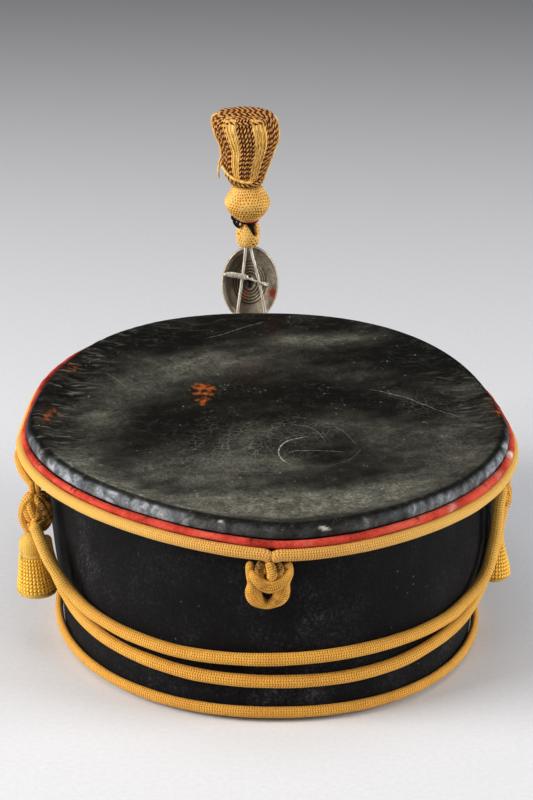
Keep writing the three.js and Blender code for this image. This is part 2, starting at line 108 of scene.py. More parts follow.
def rim_height_at(x, y):
    return rim_level(y) - RIM_SIDE_DIP * np.cos(np.arctan2(y, x)) ** 2


def rim_height(turn):
    p = rim_outline(turn)
    return rim_height_at(p[..., 0], p[..., 1])


def beside_rim(turn, out, up):
    p = moved_out(rim_outline, turn, out)
    return np.concatenate([p, (rim_height(turn) + up)[..., None]], -1)


def on_wall(turn, height, out=0.0):
    """Point off the straight felt wall at a height."""
    low = moved_out(base_outline, turn, out)
    high = moved_out(rim_outline, turn, np.asarray(out) - OVERHANG)
    share = (height / (rim_height(turn) - FLARE_DROP))[..., None]
    p = low + (high - low) * share
    return np.concatenate([p, np.broadcast_to(height, share.shape[:-1])[..., None]], -1)


# Lines, surfaces and pieces

def smooth_line(knots, between=24):
    """Centripetal curve through the points."""
    knots = np.asarray(knots, float)
    p = np.vstack([2 * knots[0] - knots[1], knots, 2 * knots[-1] - knots[-2]])
    share = np.linspace(0, 1, between, endpoint=False)[:, None]
    line = []
    for a, b, c, d in zip(p, p[1:], p[2:], p[3:]):
        t1 = np.linalg.norm(b - a) ** 0.5
        t2 = t1 + np.linalg.norm(c - b) ** 0.5
        t3 = t2 + np.linalg.norm(d - c) ** 0.5
        t = t1 + (t2 - t1) * share
        ab = ((t1 - t) * a + t * b) / t1
        bc = ((t2 - t) * b + (t - t1) * c) / (t2 - t1)
        cd = ((t3 - t) * c + (t - t2) * d) / (t3 - t2)
        abc = ((t2 - t) * ab + t * bc) / t2
        bcd = ((t3 - t) * bc + (t - t1) * cd) / (t3 - t1)
        line.append(((t2 - t) * abc + (t - t1) * bcd) / (t2 - t1))
    return np.vstack([*line, knots[-1:]])


def even_steps(line, step, closed=False):
    """The line again with points an even step apart, how far along each lies, and the whole length."""
    if closed:
        line = np.vstack([line, line[:1]])
    reach = np.concatenate([[0], np.cumsum(np.linalg.norm(np.diff(line, axis=0), axis=1))])
    count = max(3, round(reach[-1] / step)) + (not closed)
    at = np.linspace(0, reach[-1], count, endpoint=not closed)
    return np.stack([np.interp(at, reach, line[:, k]) for k in range(line.shape[1])], 1), at, reach[-1]


def unevenness(points, size, seed, waves=14):
    """Smooth random field of the points, about -1 to 1, with lumps about size mm wide."""
    draw = np.random.default_rng(seed)
    turn = draw.normal(size=(waves, points.shape[-1]))
    turn /= np.linalg.norm(turn, axis=1)[:, None]
    turn *= math.pi / size * draw.uniform(0.6, 1.4, (waves, 1))
    phase = draw.uniform(0, 2 * math.pi, waves)
    return np.sin(points @ turn.T + phase).sum(-1) / math.sqrt(waves)


def ramp(value, low, high):
    """0 below low, 1 above high, and smooth in between."""
    share = np.clip((value - low) / (high - low), 0, 1)
    return share * share * (3 - 2 * share)


def bell(value, middle, spread):
    """1 at the middle, and falling off smoothly on both sides."""
    return np.exp(-((value - middle) / spread) ** 2)


def all_round(count):
    """Angles at even steps round a full turn."""
    return 2 * math.pi * np.arange(count) / count


def shell(rings, along=None, around=None, closed=False, marks=None, finish=0):
    """Closed surface through rings, joined end to end or capped. along and around fill its UV map."""
    rings = np.asarray(rings, float)
    rows, columns = rings.shape[:2]
    spans = rows if closed else rows - 1
    i, k = np.meshgrid(np.arange(spans), np.arange(columns), indexing="ij")
    j, n = (i + 1) % rows, (k + 1) % columns
    quads = np.stack([i * columns + k, i * columns + n, j * columns + n, j * columns + k], -1).reshape(-1, 4)
    points = rings.reshape(-1, 3)
    along = np.arange(rows + 1) if along is None else along
    around = np.arange(columns + 1) if around is None else around
    uv = np.stack([
        np.stack([along[i], along[i], along[i + 1], along[i + 1]], -1),
        np.stack([around[k], around[k + 1], around[k + 1], around[k]], -1),
    ], -1).reshape(-1, 4, 2)
    corner = points[quads]
    middle = points.mean(0)
    a, b, c, d = (corner[:, q] - middle for q in range(4))
    volume = (a * np.cross(b, c)).sum() + (a * np.cross(c, d)).sum()
    first, last = np.arange(columns)[::-1], np.arange((rows - 1) * columns, rows * columns)
    caps = [] if closed else [first, last]
    if volume < 0:
        quads, uv = quads[:, ::-1], uv[:, ::-1]
        caps = [cap[::-1] for cap in caps]
    marks = {
        name: np.broadcast_to(value, rings.shape[:2]).reshape(-1) for name, value in (marks or {}).items()
    }
    return dict(points=points, quads=quads, uv=uv, caps=caps, marks=marks, finish=finish)


def piece(name, shells, finishes, stands_for=()):
    """One object of one or more shells, with its finishes, riding on the hat."""
    faces, uvs, finish_of, points, start = [], [], [], [], 0
    marks = {key: [] for s in shells for key in s["marks"]}
    for s in shells:
        faces += (s["quads"] + start).tolist() + [(cap + start).tolist() for cap in s["caps"]]
        uvs += [s["uv"].reshape(-1, 2), np.zeros((sum(len(cap) for cap in s["caps"]), 2))]
        finish_of += [s["finish"]] * (len(s["quads"]) + len(s["caps"]))
        points.append(s["points"])
        for key, values in marks.items():
            values.append(s["marks"].get(key, np.zeros(len(s["points"]))))
        start += len(s["points"])
    mesh = bpy.data.meshes.new(name)
    mesh.from_pydata(in_frame(np.vstack(points)).tolist(), [], faces)
    mesh.uv_layers.new(name="stitches").data.foreach_set("uv", np.vstack(uvs).astype(np.float32).ravel())
    for key, values in marks.items():
        kept = mesh.attributes.new(key, "FLOAT", "POINT").data
        kept.foreach_set("value", np.concatenate(values).astype(np.float32))
    mesh.polygons.foreach_set("use_smooth", np.ones(len(faces), bool))
    mesh.polygons.foreach_set("material_index", np.array(finish_of, np.int32))
    for finish in finishes:
        mesh.materials.append(finish)
    mesh.validate()
    made = bpy.data.objects.new(name, mesh)
    bpy.context.scene.collection.objects.link(made)
    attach(made, "root")
    if stands_for:
        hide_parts(*stands_for)
    return made


def line_frame(line, closed, reference):
    """Unit vectors beside and above a line: level to the reference, or turned as little as can be."""
    if closed:
        ahead = np.roll(line, -1, 0) - np.roll(line, 1, 0)
    else:
        ahead = np.gradient(line, axis=0)
    ahead /= np.linalg.norm(ahead, axis=1, keepdims=True)
    if reference is not None:
        side = np.cross(ahead, np.asarray(reference, float))
    else:
        side = np.empty_like(ahead)
        start = np.eye(3)[np.argmin(np.abs(ahead[0]))]
        side[0] = np.cross(ahead[0], start)
        for n in range(1, len(ahead)):
            side[n] = side[n - 1] - ahead[n] * (side[n - 1] @ ahead[n])
            side[n] /= np.linalg.norm(side[n])
    side /= np.linalg.norm(side, axis=1, keepdims=True)
    return side, np.cross(side, ahead)


def cord(line, radius, skin, step=0.28, sides=28, closed=False, reference=None, thick=1.0, seed=0, finish=0,
         marks=None):
    """Cord along a line. skin gives the height of its surface and the two scales of its UV map."""
    line, at, length = even_steps(np.asarray(line, float), step, closed)
    side, above = line_frame(line, closed, reference)
    share = np.arange(sides) / sides
    turn = 2 * math.pi * share
    height, along_scale, around_scale = skin(at, share, length, closed)
    if callable(radius):
        reach = np.array([radius(s) for s in at / length])
    else:
        reach = np.full(len(at), float(radius))
    if not closed:
        end = np.clip(np.minimum(at, length - at) / reach, 0, 1)
        reach = reach * np.sqrt(np.clip(1 - (1 - end) ** 2, 0.03, 1))
    reach = reach * (1 + 0.02 * unevenness(line, 9.0, seed))
    r = reach[:, None] + height
    rings = (
        line[:, None]
        + (side[:, None] * (np.cos(turn) * r * thick)[..., None])
        + (above[:, None] * (np.sin(turn) * r)[..., None])
    )
    along = np.append(at, length) * along_scale
    around = np.append(share, 1.0) * around_scale
    return shell(rings, along, around, closed, marks(rings) if marks else None, finish)


# Braid: columns of slanted stitches whose slant turns at each column, as in a knitted tube.
STITCH_PITCH = 1.0
STITCH_COLUMNS = 14
STITCH_SLANT = 0.5
STITCH_DEPTH = 0.13


def stitch_height(along, around):
    across = 1 - np.abs(around % 2 - 1)
    lean = (along + STITCH_SLANT * across) % 1
    return np.sin(math.pi * lean) ** 0.7 * np.sin(math.pi * (around % 1)) ** 0.5


def braided(columns=STITCH_COLUMNS, pitch=STITCH_PITCH, depth=STITCH_DEPTH):
    def skin(at, share, length, closed):
        count = round(length / pitch) if closed else length / pitch
        scale = count / length
        height = stitch_height(at[:, None] * scale, share[None] * columns)
        return -depth * (1 - height), scale, columns
    return skin


# Plume cords: two plies laid round each other, or one smooth strand.
def two_ply(lay, depth):
    def skin(at, share, length, closed):
        ply = np.abs(np.sin(2 * math.pi * (share[None] + at[:, None] / lay)))
        return -depth * (1 - ply), 2 / lay, 2.0
    return skin


def smooth_strand(at, share, length, closed):
    return np.zeros((len(at), len(share))), 1.0, 1.0


def turned(rows, forward, sides, step, relief=None, columns=1, pitch=1.0, marks=None, finish=0):
    """Upright round piece through rows of height, radius and place across. relief is a function of its UV."""
    line = smooth_line([(z, r, x) for z, r, x in rows], between=12)
    line, at, length = even_steps(line, step)
    share = np.arange(sides) / sides
    turn = 2 * math.pi * share
    r = line[:, 1:2] + np.zeros(sides)
    if relief:
        r = r + relief(at[:, None] / pitch, share[None] * columns)
    rings = np.stack([
        line[:, 2:3] + r * np.cos(turn),
        forward + r * np.sin(turn),
        np.broadcast_to(line[:, :1], r.shape),
    ], -1)
    along, around = np.append(at, length) / pitch, np.append(share, 1.0) * columns
    return shell(rings, along, around, marks=marks(rings) if marks else None, finish=finish)


# Finishes

def colour(code):
    """Linear RGBA of an sRGB hex value."""
    part = [int(code[i:i + 2], 16) / 255 for i in (1, 3, 5)]
    return [c / 12.92 if c <= 0.04045 else ((c + 0.055) / 1.055) ** 2.4 for c in part] + [1.0]


def per_mm(size):
    """Scale of a pattern on metre coordinates whose repeat is size mm."""
    return 1000 / size


def finish(name):
    """New material: its tree, its shader node, and the piece's own coordinates in metres."""
    made = bpy.data.materials.new(name)
    made.use_nodes = True
    tree = made.node_tree
    place = add(tree, "TexCoord").outputs["Object"]
    return made, tree, tree.nodes["Principled BSDF"], place


def add(tree, kind, sockets=None, stops=(), **settings):
    """Adds a node. A socket takes a value, a node (its first output) or an output; a setting takes a value.

    stops are a colour ramp's places and colours. Places above 1 are kept by scaling the ramp's input down.
    """
    sockets = dict(sockets or {})
    widest = max([1.0] + [place for place, code in stops])
    if widest > 1:
        sockets[0] = add(tree, "Math", {0: sockets[0], 1: 1 / widest}, operation="MULTIPLY")
    made = tree.nodes.new("ShaderNode" + kind)
    for key, value in settings.items():
        setattr(made, key, value)
    if stops:
        elements = made.color_ramp.elements
        elements.remove(elements[1])
        for n, (place, code) in enumerate(stops):
            element = elements.new(place / widest) if n else elements[0]
            element.position, element.color = place / widest, colour(code)
    fill(tree, made, sockets)
    return made


def fill(tree, made, sockets):
    """Sets or links the sockets of a node."""
    for key, value in sockets.items():
        if isinstance(value, bpy.types.Node):
            value = value.outputs[0]
        if isinstance(value, bpy.types.NodeSocket):
            tree.links.new(value, made.inputs[key])
        else:
            made.inputs[key].default_value = value


def black_felt():
    """Wool felt, fulled and dyed black: matt, with a short nap, a little dust and pale lint caught in it."""
    made, tree, shader, place = finish("black_wool_felt")
    nap = add(tree, "TexNoise", {"Vector": place, "Scale": per_mm(1.3), "Detail": 5.0, "Roughness": 0.75})
    cloud = add(tree, "TexNoise", {"Vector": place, "Scale": per_mm(34), "Detail": 5.0, "Roughness": 0.65})
    dust = add(tree, "Math", {0: cloud, 1: 0.9, 2: nap}, operation="MULTIPLY_ADD")
    wool = add(tree, "ValToRGB", {0: dust}, stops=[
        (0.74, "#040405"), (0.95, "#0B0B0D"), (1.1, "#1D1D20"), (1.26, "#434348"),
    ])
    lint = add(tree, "TexVoronoi", {"Vector": place, "Scale": per_mm(4.2), "Randomness": 1.0})
    caught = add(tree, "TexNoise", {"Vector": place, "Scale": per_mm(15), "Detail": 3.0})
    dots = add(tree, "MapRange", {"Value": lint, 1: 0.05, 2: 0.11, 3: 0.7, 4: 0.0})
    where = add(tree, "MapRange", {"Value": caught, 1: 0.5, 2: 0.62})
    shown = add(tree, "Math", {0: dots, 1: where}, operation="MULTIPLY")
    base = add(tree, "MixRGB", {"Fac": shown, "Color1": wool, "Color2": colour("#6B6B68")})
    bump = add(tree, "Bump", {"Height": nap, "Strength": 0.7, "Distance": 0.0005})
    fill(tree, shader, {
        "Base Color": base, "Normal": bump, "Roughness": 0.95, "Specular IOR Level": 0.12,
        "Sheen Weight": 0.04, "Sheen Roughness": 0.5,
    })
    return made


LEATHER_MARKS = (
    "dust_and_sheen", "crazed", "edge_wear_and_sheen", "chipped", "rust", "browned", "scratch_off", "scratch_on", "gathered",
)


def worn_leather():
    """Vegetable-tanned leather, blacked and waxed: deep black, greyed by dust and painted sheen, scuffed
    where worn.
    """
    made, tree, shader, place = finish("waxed_black_leather")
    mark = {key: add(tree, "Attribute", attribute_name=key).outputs["Fac"] for key in LEATHER_MARKS}
    grain = add(tree, "TexNoise", {"Vector": place, "Scale": per_mm(1.2), "Detail": 5.0, "Roughness": 0.75})
    scuffs = add(tree, "TexNoise", {"Vector": place, "Scale": per_mm(7), "Detail": 8.0, "Roughness": 0.7,
                                    "Distortion": 0.6})
    # Grey dust and a painted sheen lie on the leather as fine speckles and cloudy rubs.
    speckle = add(tree, "Math", {0: grain, 1: 2.2, 2: -0.6}, operation="MULTIPLY_ADD")
    speckle = add(tree, "Math", {0: scuffs, 1: 1.6, 2: speckle}, operation="MULTIPLY_ADD")
    speckle = add(tree, "Math", {0: speckle, 1: -0.35}, operation="ADD")
    veil = add(tree, "MapRange", {"Value": mark["dust_and_sheen"], 1: 0.0, 2: 1.0, 3: 0.1, 4: 1.0})
    dust = add(tree, "Math", {0: speckle, 1: veil}, operation="MULTIPLY")
    hide = add(tree, "ValToRGB", {0: dust}, stops=[
        (0.0, "#060605"), (0.14, "#10100E"), (0.5, "#33332E"), (0.95, "#5C5C53"), (1.4, "#8E8D82"),
    ])
    # Hairline cracks: the ridges of a folded noise.
    folds = add(tree, "TexNoise", {"Vector": place, "Scale": per_mm(11), "Detail": 3.0, "Distortion": 2.5})
    ridge = add(tree, "Math", {0: folds, 1: 0.5}, operation="SUBTRACT")
    ridge = add(tree, "Math", {0: ridge}, operation="ABSOLUTE")
    hair = add(tree, "MapRange", {"Value": ridge, 1: 0.0, 2: 0.006, 3: 1.0, 4: 0.0})
    here = add(tree, "MapRange", {"Value": scuffs, 1: 0.46, 2: 0.58, 3: 0.0, 4: 0.8})
    hair = add(tree, "Math", {0: hair, 1: here}, operation="MULTIPLY")
    # Where the wax has crazed, the edges of small cells are pale.
    cells = add(tree, "TexVoronoi", {"Vector": place, "Scale": per_mm(3.4)}, feature="DISTANCE_TO_EDGE")
    crack = add(tree, "MapRange", {"Value": cells, 1: 0.015, 2: 0.07, 3: 0.8, 4: 0.0})
    crack = add(tree, "Math", {0: crack, 1: mark["crazed"]}, operation="MULTIPLY")
    hair = add(tree, "Math", {0: hair, 1: crack}, operation="MAXIMUM")
    # Pale streaks in the creases that are gathered over the edge.
    stretched = add(tree, "Mapping", {"Vector": place, "Scale": (0.25, 1.0, 1.0)})
    streaks = add(tree, "TexNoise", {"Vector": stretched, "Scale": per_mm(2.2), "Detail": 3.0,
                                     "Distortion": 0.4})
    streak = add(tree, "MapRange", {"Value": streaks, 1: 0.56, 2: 0.68, 3: 0.0, 4: 0.55})
    streak = add(tree, "Math", {0: streak, 1: mark["gathered"]}, operation="MULTIPLY")
    hair = add(tree, "Math", {0: hair, 1: streak}, operation="MAXIMUM")
    hazed = add(tree, "MixRGB", {"Fac": hair, "Color1": hide, "Color2": colour("#6F6F66")})
    browned = add(tree, "Math", {0: mark["browned"], 1: scuffs}, operation="MULTIPLY")
    tinted = add(tree, "MixRGB", {"Fac": browned, "Color1": hazed, "Color2": colour("#3E1E12")})
    # The rolled edge's colour: wear, and a painted blue-grey highlight.
    rub_and_sheen_colour = add(tree, "ValToRGB", {0: scuffs}, stops=[(0.36, "#1C1D20"), (0.5, "#5C636C"), (0.66, "#B0B8C0")])
    rubbed_and_lit = add(tree, "MixRGB", {"Fac": mark["edge_wear_and_sheen"], "Color1": tinted, "Color2": rub_and_sheen_colour})
    rusty = add(tree, "ValToRGB", {0: grain}, stops=[(0.35, "#74300F"), (0.6, "#CC6A24")])
    stained = add(tree, "MixRGB", {"Fac": mark["rust"], "Color1": rubbed_and_lit, "Color2": rusty})
    # Scratches are narrower than the mesh: the line lies where the distance to it passes zero.
    off = add(tree, "Math", {0: mark["scratch_off"]}, operation="ABSOLUTE")
    line = add(tree, "MapRange", {"Value": off, 1: 0.1, 2: 0.4, 3: 1.0, 4: 0.0})
    broken = add(tree, "MapRange", {"Value": grain, 1: 0.4, 2: 0.56})
    line = add(tree, "Math", {0: line, 1: broken}, operation="MULTIPLY")
    line = add(tree, "Math", {0: line, 1: mark["scratch_on"]}, operation="MULTIPLY")
    specks = add(tree, "TexVoronoi", {"Vector": place, "Scale": per_mm(3.6)})
    speck = add(tree, "MapRange", {"Value": specks, 1: 0.05, 2: 0.12, 3: 0.8, 4: 0.0})
    dusty = add(tree, "MapRange", {"Value": scuffs, 1: 0.52, 2: 0.6})
    speck = add(tree, "Math", {0: speck, 1: dusty}, operation="MULTIPLY")
    white = add(tree, "Math", {0: line, 1: speck}, operation="MAXIMUM")
    white = add(tree, "Math", {0: white, 1: mark["chipped"]}, operation="MAXIMUM")
    base = add(tree, "MixRGB", {"Fac": white, "Color1": stained, "Color2": colour("#B9B8AE")})
    dull = add(tree, "MapRange", {"Value": dust, 1: 0.0, 2: 0.8, 3: 0.5, 4: 0.75})
    gloss = add(tree, "MapRange", {"Value": mark["edge_wear_and_sheen"], 1: 0.0, 2: 1.0, 3: 0.08, 4: 0.45})
    relief = add(tree, "Math", {0: scuffs, 1: 1.2, 2: grain}, operation="MULTIPLY_ADD")
    relief = add(tree, "Math", {0: streak, 1: 0.6, 2: relief}, operation="MULTIPLY_ADD")
    bump = add(tree, "Bump", {"Height": relief, "Strength": 0.5, "Distance": 0.0004})
    fill(tree, shader, {"Base Color": base, "Roughness": dull, "Normal": bump, "Specular IOR Level": gloss})
    return made


def red_cloth():
    """Madder-red wool cloth folded over a cord: matt, fine threads, scuffed pale on its ridge."""
    made, tree, shader, place = finish("red_wool_cloth")
    thread = add(tree, "TexNoise", {"Vector": place, "Scale": per_mm(0.8), "Detail": 4.0, "Roughness": 0.65})
    cloud = add(tree, "TexNoise", {"Vector": place, "Scale": per_mm(12), "Detail": 5.0})
    both = add(tree, "Math", {0: thread, 1: 0.8, 2: cloud}, operation="MULTIPLY_ADD")
    dye = add(tree, "ValToRGB", {0: both}, stops=[(0.66, "#8A2218"), (0.88, "#C23C2C"), (1.1, "#D45C4A")])
    nick = add(tree, "Attribute", attribute_name="nick").outputs["Fac"]
    base = add(tree, "MixRGB", {"Fac": nick, "Color1": dye, "Color2": colour("#1E0A08")})
    chip = add(tree, "Attribute", attribute_name="chip").outputs["Fac"]
    base = add(tree, "MixRGB", {"Fac": chip, "Color1": base, "Color2": colour("#DDCBBE")})
    bump = add(tree, "Bump", {"Height": thread, "Strength": 0.8, "Distance": 0.0004})
    fill(tree, shader, {"Base Color": base, "Normal": bump, "Roughness": 0.9, "Specular IOR Level": 0.2})
    return made


def yellow_braid(name, deep, mid, pale, grime=0.35, leaning=False):
    """Worsted braid dyed yellow: a highlight is painted on each stitch's back and shade in the valleys."""
    made, tree, shader, place = finish(name)
    split = add(tree, "SeparateXYZ", {0: add(tree, "UVMap", uv_map="stitches")})
    along, around = split.outputs[0], split.outputs[1]
    across = add(tree, "Math", {0: around, 1: 1.0}, operation="FRACT" if leaning else "PINGPONG")
    lean = add(tree, "Math", {0: across, 1: STITCH_SLANT, 2: along}, operation="MULTIPLY_ADD")
    lean = add(tree, "Math", {0: lean}, operation="FRACT")
    back = add(tree, "Math", {0: lean, 1: math.pi}, operation="MULTIPLY")
    back = add(tree, "Math", {0: back}, operation="SINE")
    edge = add(tree, "Math", {0: around}, operation="FRACT")
    edge = add(tree, "Math", {0: edge, 1: math.pi}, operation="MULTIPLY")
    edge = add(tree, "Math", {0: edge}, operation="SINE")
    edge = add(tree, "Math", {0: edge, 1: 0.35}, operation="POWER")
    height = add(tree, "Math", {0: back, 1: edge}, operation="MULTIPLY")
    fibre = add(tree, "TexNoise", {"Vector": place, "Scale": per_mm(0.8), "Detail": 4.0, "Roughness": 0.6})
    cloud = add(tree, "TexNoise", {"Vector": place, "Scale": per_mm(18), "Detail": 6.0, "Roughness": 0.65})
    # The stitch's height goes into the colour as a painted highlight and painted shade.
    tone = add(tree, "Math", {0: fibre, 1: 0.8, 2: height}, operation="MULTIPLY_ADD")
    yarn = add(tree, "ValToRGB", {0: tone}, stops=[(0.32, deep), (0.84, mid), (1.32, pale)])
    soil = add(tree, "MapRange", {"Value": cloud, 1: 0.46, 2: 0.72, 3: 0.0, 4: grime})
    soil_and_shade_mask = add(tree, "Attribute", attribute_name="soil_and_shade").outputs["Fac"]
    worn = add(tree, "MixRGB", {"Fac": soil, "Color1": yarn, "Color2": colour("#A85A14")})
    # Dirt and painted shade turn the yarn dark brown where a piece marks it, more where the fibre noise is
    # low.
    soil_and_shade_dark = add(tree, "MapRange", {"Value": fibre, 1: 0.38, 2: 0.62, 3: 1.0, 4: 0.35})
    soil_and_shade_dark = add(tree, "Math", {0: soil_and_shade_dark, 1: soil_and_shade_mask}, operation="MULTIPLY")
    # Paler yarn where a piece marks it, round the hat's sides.
    paler_sides_mask = add(tree, "Attribute", attribute_name="paler_sides").outputs["Fac"]
    worn = add(tree, "MixRGB", {"Fac": paler_sides_mask, "Color1": worn, "Color2": colour("#E2BC5E")})
    base = add(tree, "MixRGB", {"Fac": soil_and_shade_dark, "Color1": worn, "Color2": colour("#241005")})
    bump = add(tree, "Bump", {"Height": tone, "Strength": 0.6, "Distance": 0.00025})
    fill(tree, shader, {
        "Base Color": base, "Normal": bump, "Roughness": 0.72, "Specular IOR Level": 0.25,
        "Sheen Weight": 0.06, "Sheen Roughness": 0.4,
    })
    return made


def laid_cord(name, plies):
    """Plies of yellow, black and madder thread laid together: slanted stripes run down each cord."""
    made, tree, shader, place = finish(name)
    split = add(tree, "SeparateXYZ", {0: add(tree, "UVMap", uv_map="stitches")})
    turn = add(tree, "Math", {0: split.outputs[1], 1: split.outputs[0]}, operation="ADD")
    frayed = add(tree, "TexNoise", {"Vector": place, "Scale": per_mm(1.6), "Detail": 4.0})
    turn = add(tree, "Math", {0: frayed, 1: 0.3, 2: turn}, operation="MULTIPLY_ADD")
    turn = add(tree, "Math", {0: turn}, operation="FRACT")
    yarn = add(tree, "ValToRGB", {0: turn}, stops=plies)
    yarn.color_ramp.interpolation = "CONSTANT"
    thread = add(tree, "TexNoise", {"Vector": place, "Scale": per_mm(0.6), "Detail": 2.0})
    shade = add(tree, "MapRange", {"Value": thread, 1: 0.3, 2: 0.7, 3: 0.6, 4: 1.2})
    base = add(tree, "VectorMath", {0: yarn, 1: shade}, operation="MULTIPLY")
    bump = add(tree, "Bump", {"Height": thread, "Strength": 0.6, "Distance": 0.0002})
    fill(tree, shader, {"Base Color": base, "Normal": bump, "Roughness": 0.8, "Specular IOR Level": 0.2})
    return made


def strand_yarn():
    """Straight yellow worsted strands: pale along their backs, with fine fibres running down them."""
    made, tree, shader, place = finish("yellow_worsted_strand")
    stretched = add(tree, "Mapping", {"Vector": place, "Scale": (1.0, 1.0, 0.12)})
    fibre = add(tree, "TexNoise", {"Vector": stretched, "Scale": per_mm(0.8), "Detail": 4.0})
    yarn = add(tree, "ValToRGB", {0: fibre}, stops=[(0.3, "#B98536"), (0.5, "#E8B65A"), (0.72, "#FADC98")])
    bump = add(tree, "Bump", {"Height": fibre, "Strength": 0.6, "Distance": 0.0003})
    fill(tree, shader, {"Base Color": yarn, "Normal": bump, "Roughness": 0.75, "Specular IOR Level": 0.25})
    return made


def knotted_net():
    """Net of knotted yellow cord over a dark core: pale knots, dark holes, and painted shade where the net
    dips.
    """
    made, tree, shader, place = finish("knotted_yellow_net")
    height = add(tree, "Attribute", attribute_name="knot").outputs["Fac"]
    torn = add(tree, "Attribute", attribute_name="torn").outputs["Fac"]
    fibre = add(tree, "TexNoise", {"Vector": place, "Scale": per_mm(0.9), "Detail": 4.0, "Roughness": 0.65})
    # The knots' height goes into the colour: lower places get painted shade.
    tone = add(tree, "Math", {0: fibre, 1: 0.9, 2: height}, operation="MULTIPLY_ADD")
    yarn = add(tree, "ValToRGB", {0: tone}, stops=[
        (0.55, "#3E220A"), (0.95, "#A86C24"), (1.3, "#DFAA50"), (1.65, "#F6D992"),
    ])
    base = add(tree, "MixRGB", {"Fac": torn, "Color1": yarn, "Color2": colour("#080606")})
    bump = add(tree, "Bump", {"Height": tone, "Strength": 0.6, "Distance": 0.0003})
    fill(tree, shader, {"Base Color": base, "Normal": bump, "Roughness": 0.8, "Specular IOR Level": 0.2})
    return made


def pressed_pewter():
    """Pewter sheet pressed in a die: satin grey ribs, dark tarnish between them, rust from the wires."""
    made, tree, shader, place = finish("pressed_pewter")
    tarnish = add(tree, "Attribute", attribute_name="tarnish").outputs["Fac"]
    rust = add(tree, "Attribute", attribute_name="rust").outputs["Fac"]
    grain = add(tree, "TexNoise", {"Vector": place, "Scale": per_mm(1.4), "Detail": 6.0, "Roughness": 0.7})
    cloud = add(tree, "TexNoise", {"Vector": place, "Scale": per_mm(6), "Detail": 3.0})
    tone = add(tree, "Math", {0: cloud, 1: 0.5, 2: grain}, operation="MULTIPLY_ADD")
    metal = add(tree, "ValToRGB", {0: tone}, stops=[(0.5, "#7E7565"), (0.75, "#B8AE9B"), (1.0, "#E4DDCD")])
    dark = add(tree, "MixRGB", {"Fac": tarnish, "Color1": metal, "Color2": colour("#42331F")})
    pit = add(tree, "MapRange", {"Value": tarnish, 1: 1.0, 2: 1.7})
    dark = add(tree, "MixRGB", {"Fac": pit, "Color1": dark, "Color2": colour("#0B0806")})
    base = add(tree, "MixRGB", {"Fac": rust, "Color1": dark, "Color2": colour("#B0441E")})
    dull = add(tree, "MapRange", {"Value": tone, 1: 0.5, 2: 1.0, 3: 0.6, 4: 0.4})
    bump = add(tree, "Bump", {"Height": grain, "Strength": 0.35, "Distance": 0.0003})
    fill(tree, shader, {"Base Color": base, "Normal": bump, "Roughness": dull, "Metallic": 0.35})
    return made


def tinned_wire():
    """Drawn iron wire, tinned: bright satin with lengthwise draw marks and grey patches."""
    made, tree, shader, place = finish("tinned_iron_wire")
    drawn = add(tree, "Mapping", {"Vector": place, "Scale": (1.0, 1.0, 0.15)})
    marks = add(tree, "TexNoise", {"Vector": drawn, "Scale": per_mm(0.6), "Detail": 4.0})
    metal = add(tree, "ValToRGB", {0: marks}, stops=[(0.35, "#A8A192"), (0.6, "#F0EBDF")])
    dull = add(tree, "MapRange", {"Value": marks, 1: 0.3, 2: 0.7, 3: 0.5, 4: 0.3})
    fill(tree, shader, {"Base Color": metal, "Roughness": dull, "Metallic": 0.4})
    return made


def polished_leather(name, low, high, gloss):
    """Black leather, waxed and boned smooth: fine pores and a clear soft highlight."""
    made, tree, shader, place = finish(name)
    pores = add(tree, "TexVoronoi", {"Vector": place, "Scale": per_mm(1.0)})
    cloud = add(tree, "TexNoise", {"Vector": place, "Scale": per_mm(25), "Detail": 5.0})
    hide = add(tree, "ValToRGB", {0: cloud}, stops=[(0.35, low), (0.7, high)])
    dull = add(tree, "MapRange", {"Value": cloud, 1: 0.3, 2: 0.7, 3: gloss, 4: gloss + 0.18})
    bump = add(tree, "Bump", {"Height": pores, "Strength": 0.25, "Distance": 0.0002})
    fill(tree, shader, {"Base Color": hide, "Normal": bump, "Roughness": dull, "Coat Weight": 0.2})
    return made


FELT = black_felt()
LEATHER = worn_leather()
RED = red_cloth()
BRAID = yellow_braid("golden_worsted_braid", "#8E520A", "#D1932F", "#EFB954")
RIM_BRAID = yellow_braid("pale_worsted_braid", "#985F18", "#C98D38", "#E8BA66", grime=0.2)
BULLION = yellow_braid("bullion_braid", "#98560C", "#EEB034", "#FFDC66", grime=0.2, leaning=True)
TASSEL_HEAD = yellow_braid("bound_tassel_head", "#A8691A", "#DDAE45", "#F4D26E", grime=0.15)
LAID = laid_cord("yellow_and_black_laid_cord", [
    (0.0, "#D09C4C"), (0.32, "#220804"), (0.62, "#66200F"), (0.86, "#DCA85C"),
])
LAID_PALE = laid_cord("yellow_and_madder_laid_cord", [
    (0.0, "#D6A254"), (0.36, "#7C2C18"), (0.58, "#2E0C07"), (0.86, "#C07A4C"),
])
WOOL_CORE = laid_cord("dark_wool_core", [(0.0, "#140806"), (0.5, "#26100B")])
STRAND = strand_yarn()
NET = knotted_net()
PEWTER = pressed_pewter()
TIN = tinned_wire()
PEAK_LEATHER = polished_leather("boned_black_leather", "#0C0C0C", "#1B1A19", 0.28)
SOCKET_LEATHER = polished_leather("plain_black_leather", "#121110", "#262422", 0.45)


# Crown

# The felt's turned-out top, from outside over the ledge to inside: out and up from the rim's line.
FELT_FLARE = [
    (-5.6, -10.2), (-2.6, -8.9), (-0.55, -6.8), (-0.55, -0.2), (-2.05, -0.2), (-2.05, 2.3), (-5.1, 2.3),
    (-5.6, -4.5), (-9.6, -12),
]
# The right side swells a little below the rim, behind the knot: how far, and where and how wide in degrees.
SWELL, SWELL_AT, SWELL_SPREAD = 4.6, 346, 17
HEM_ROUND = 0.9
WALL_ROWS = 46


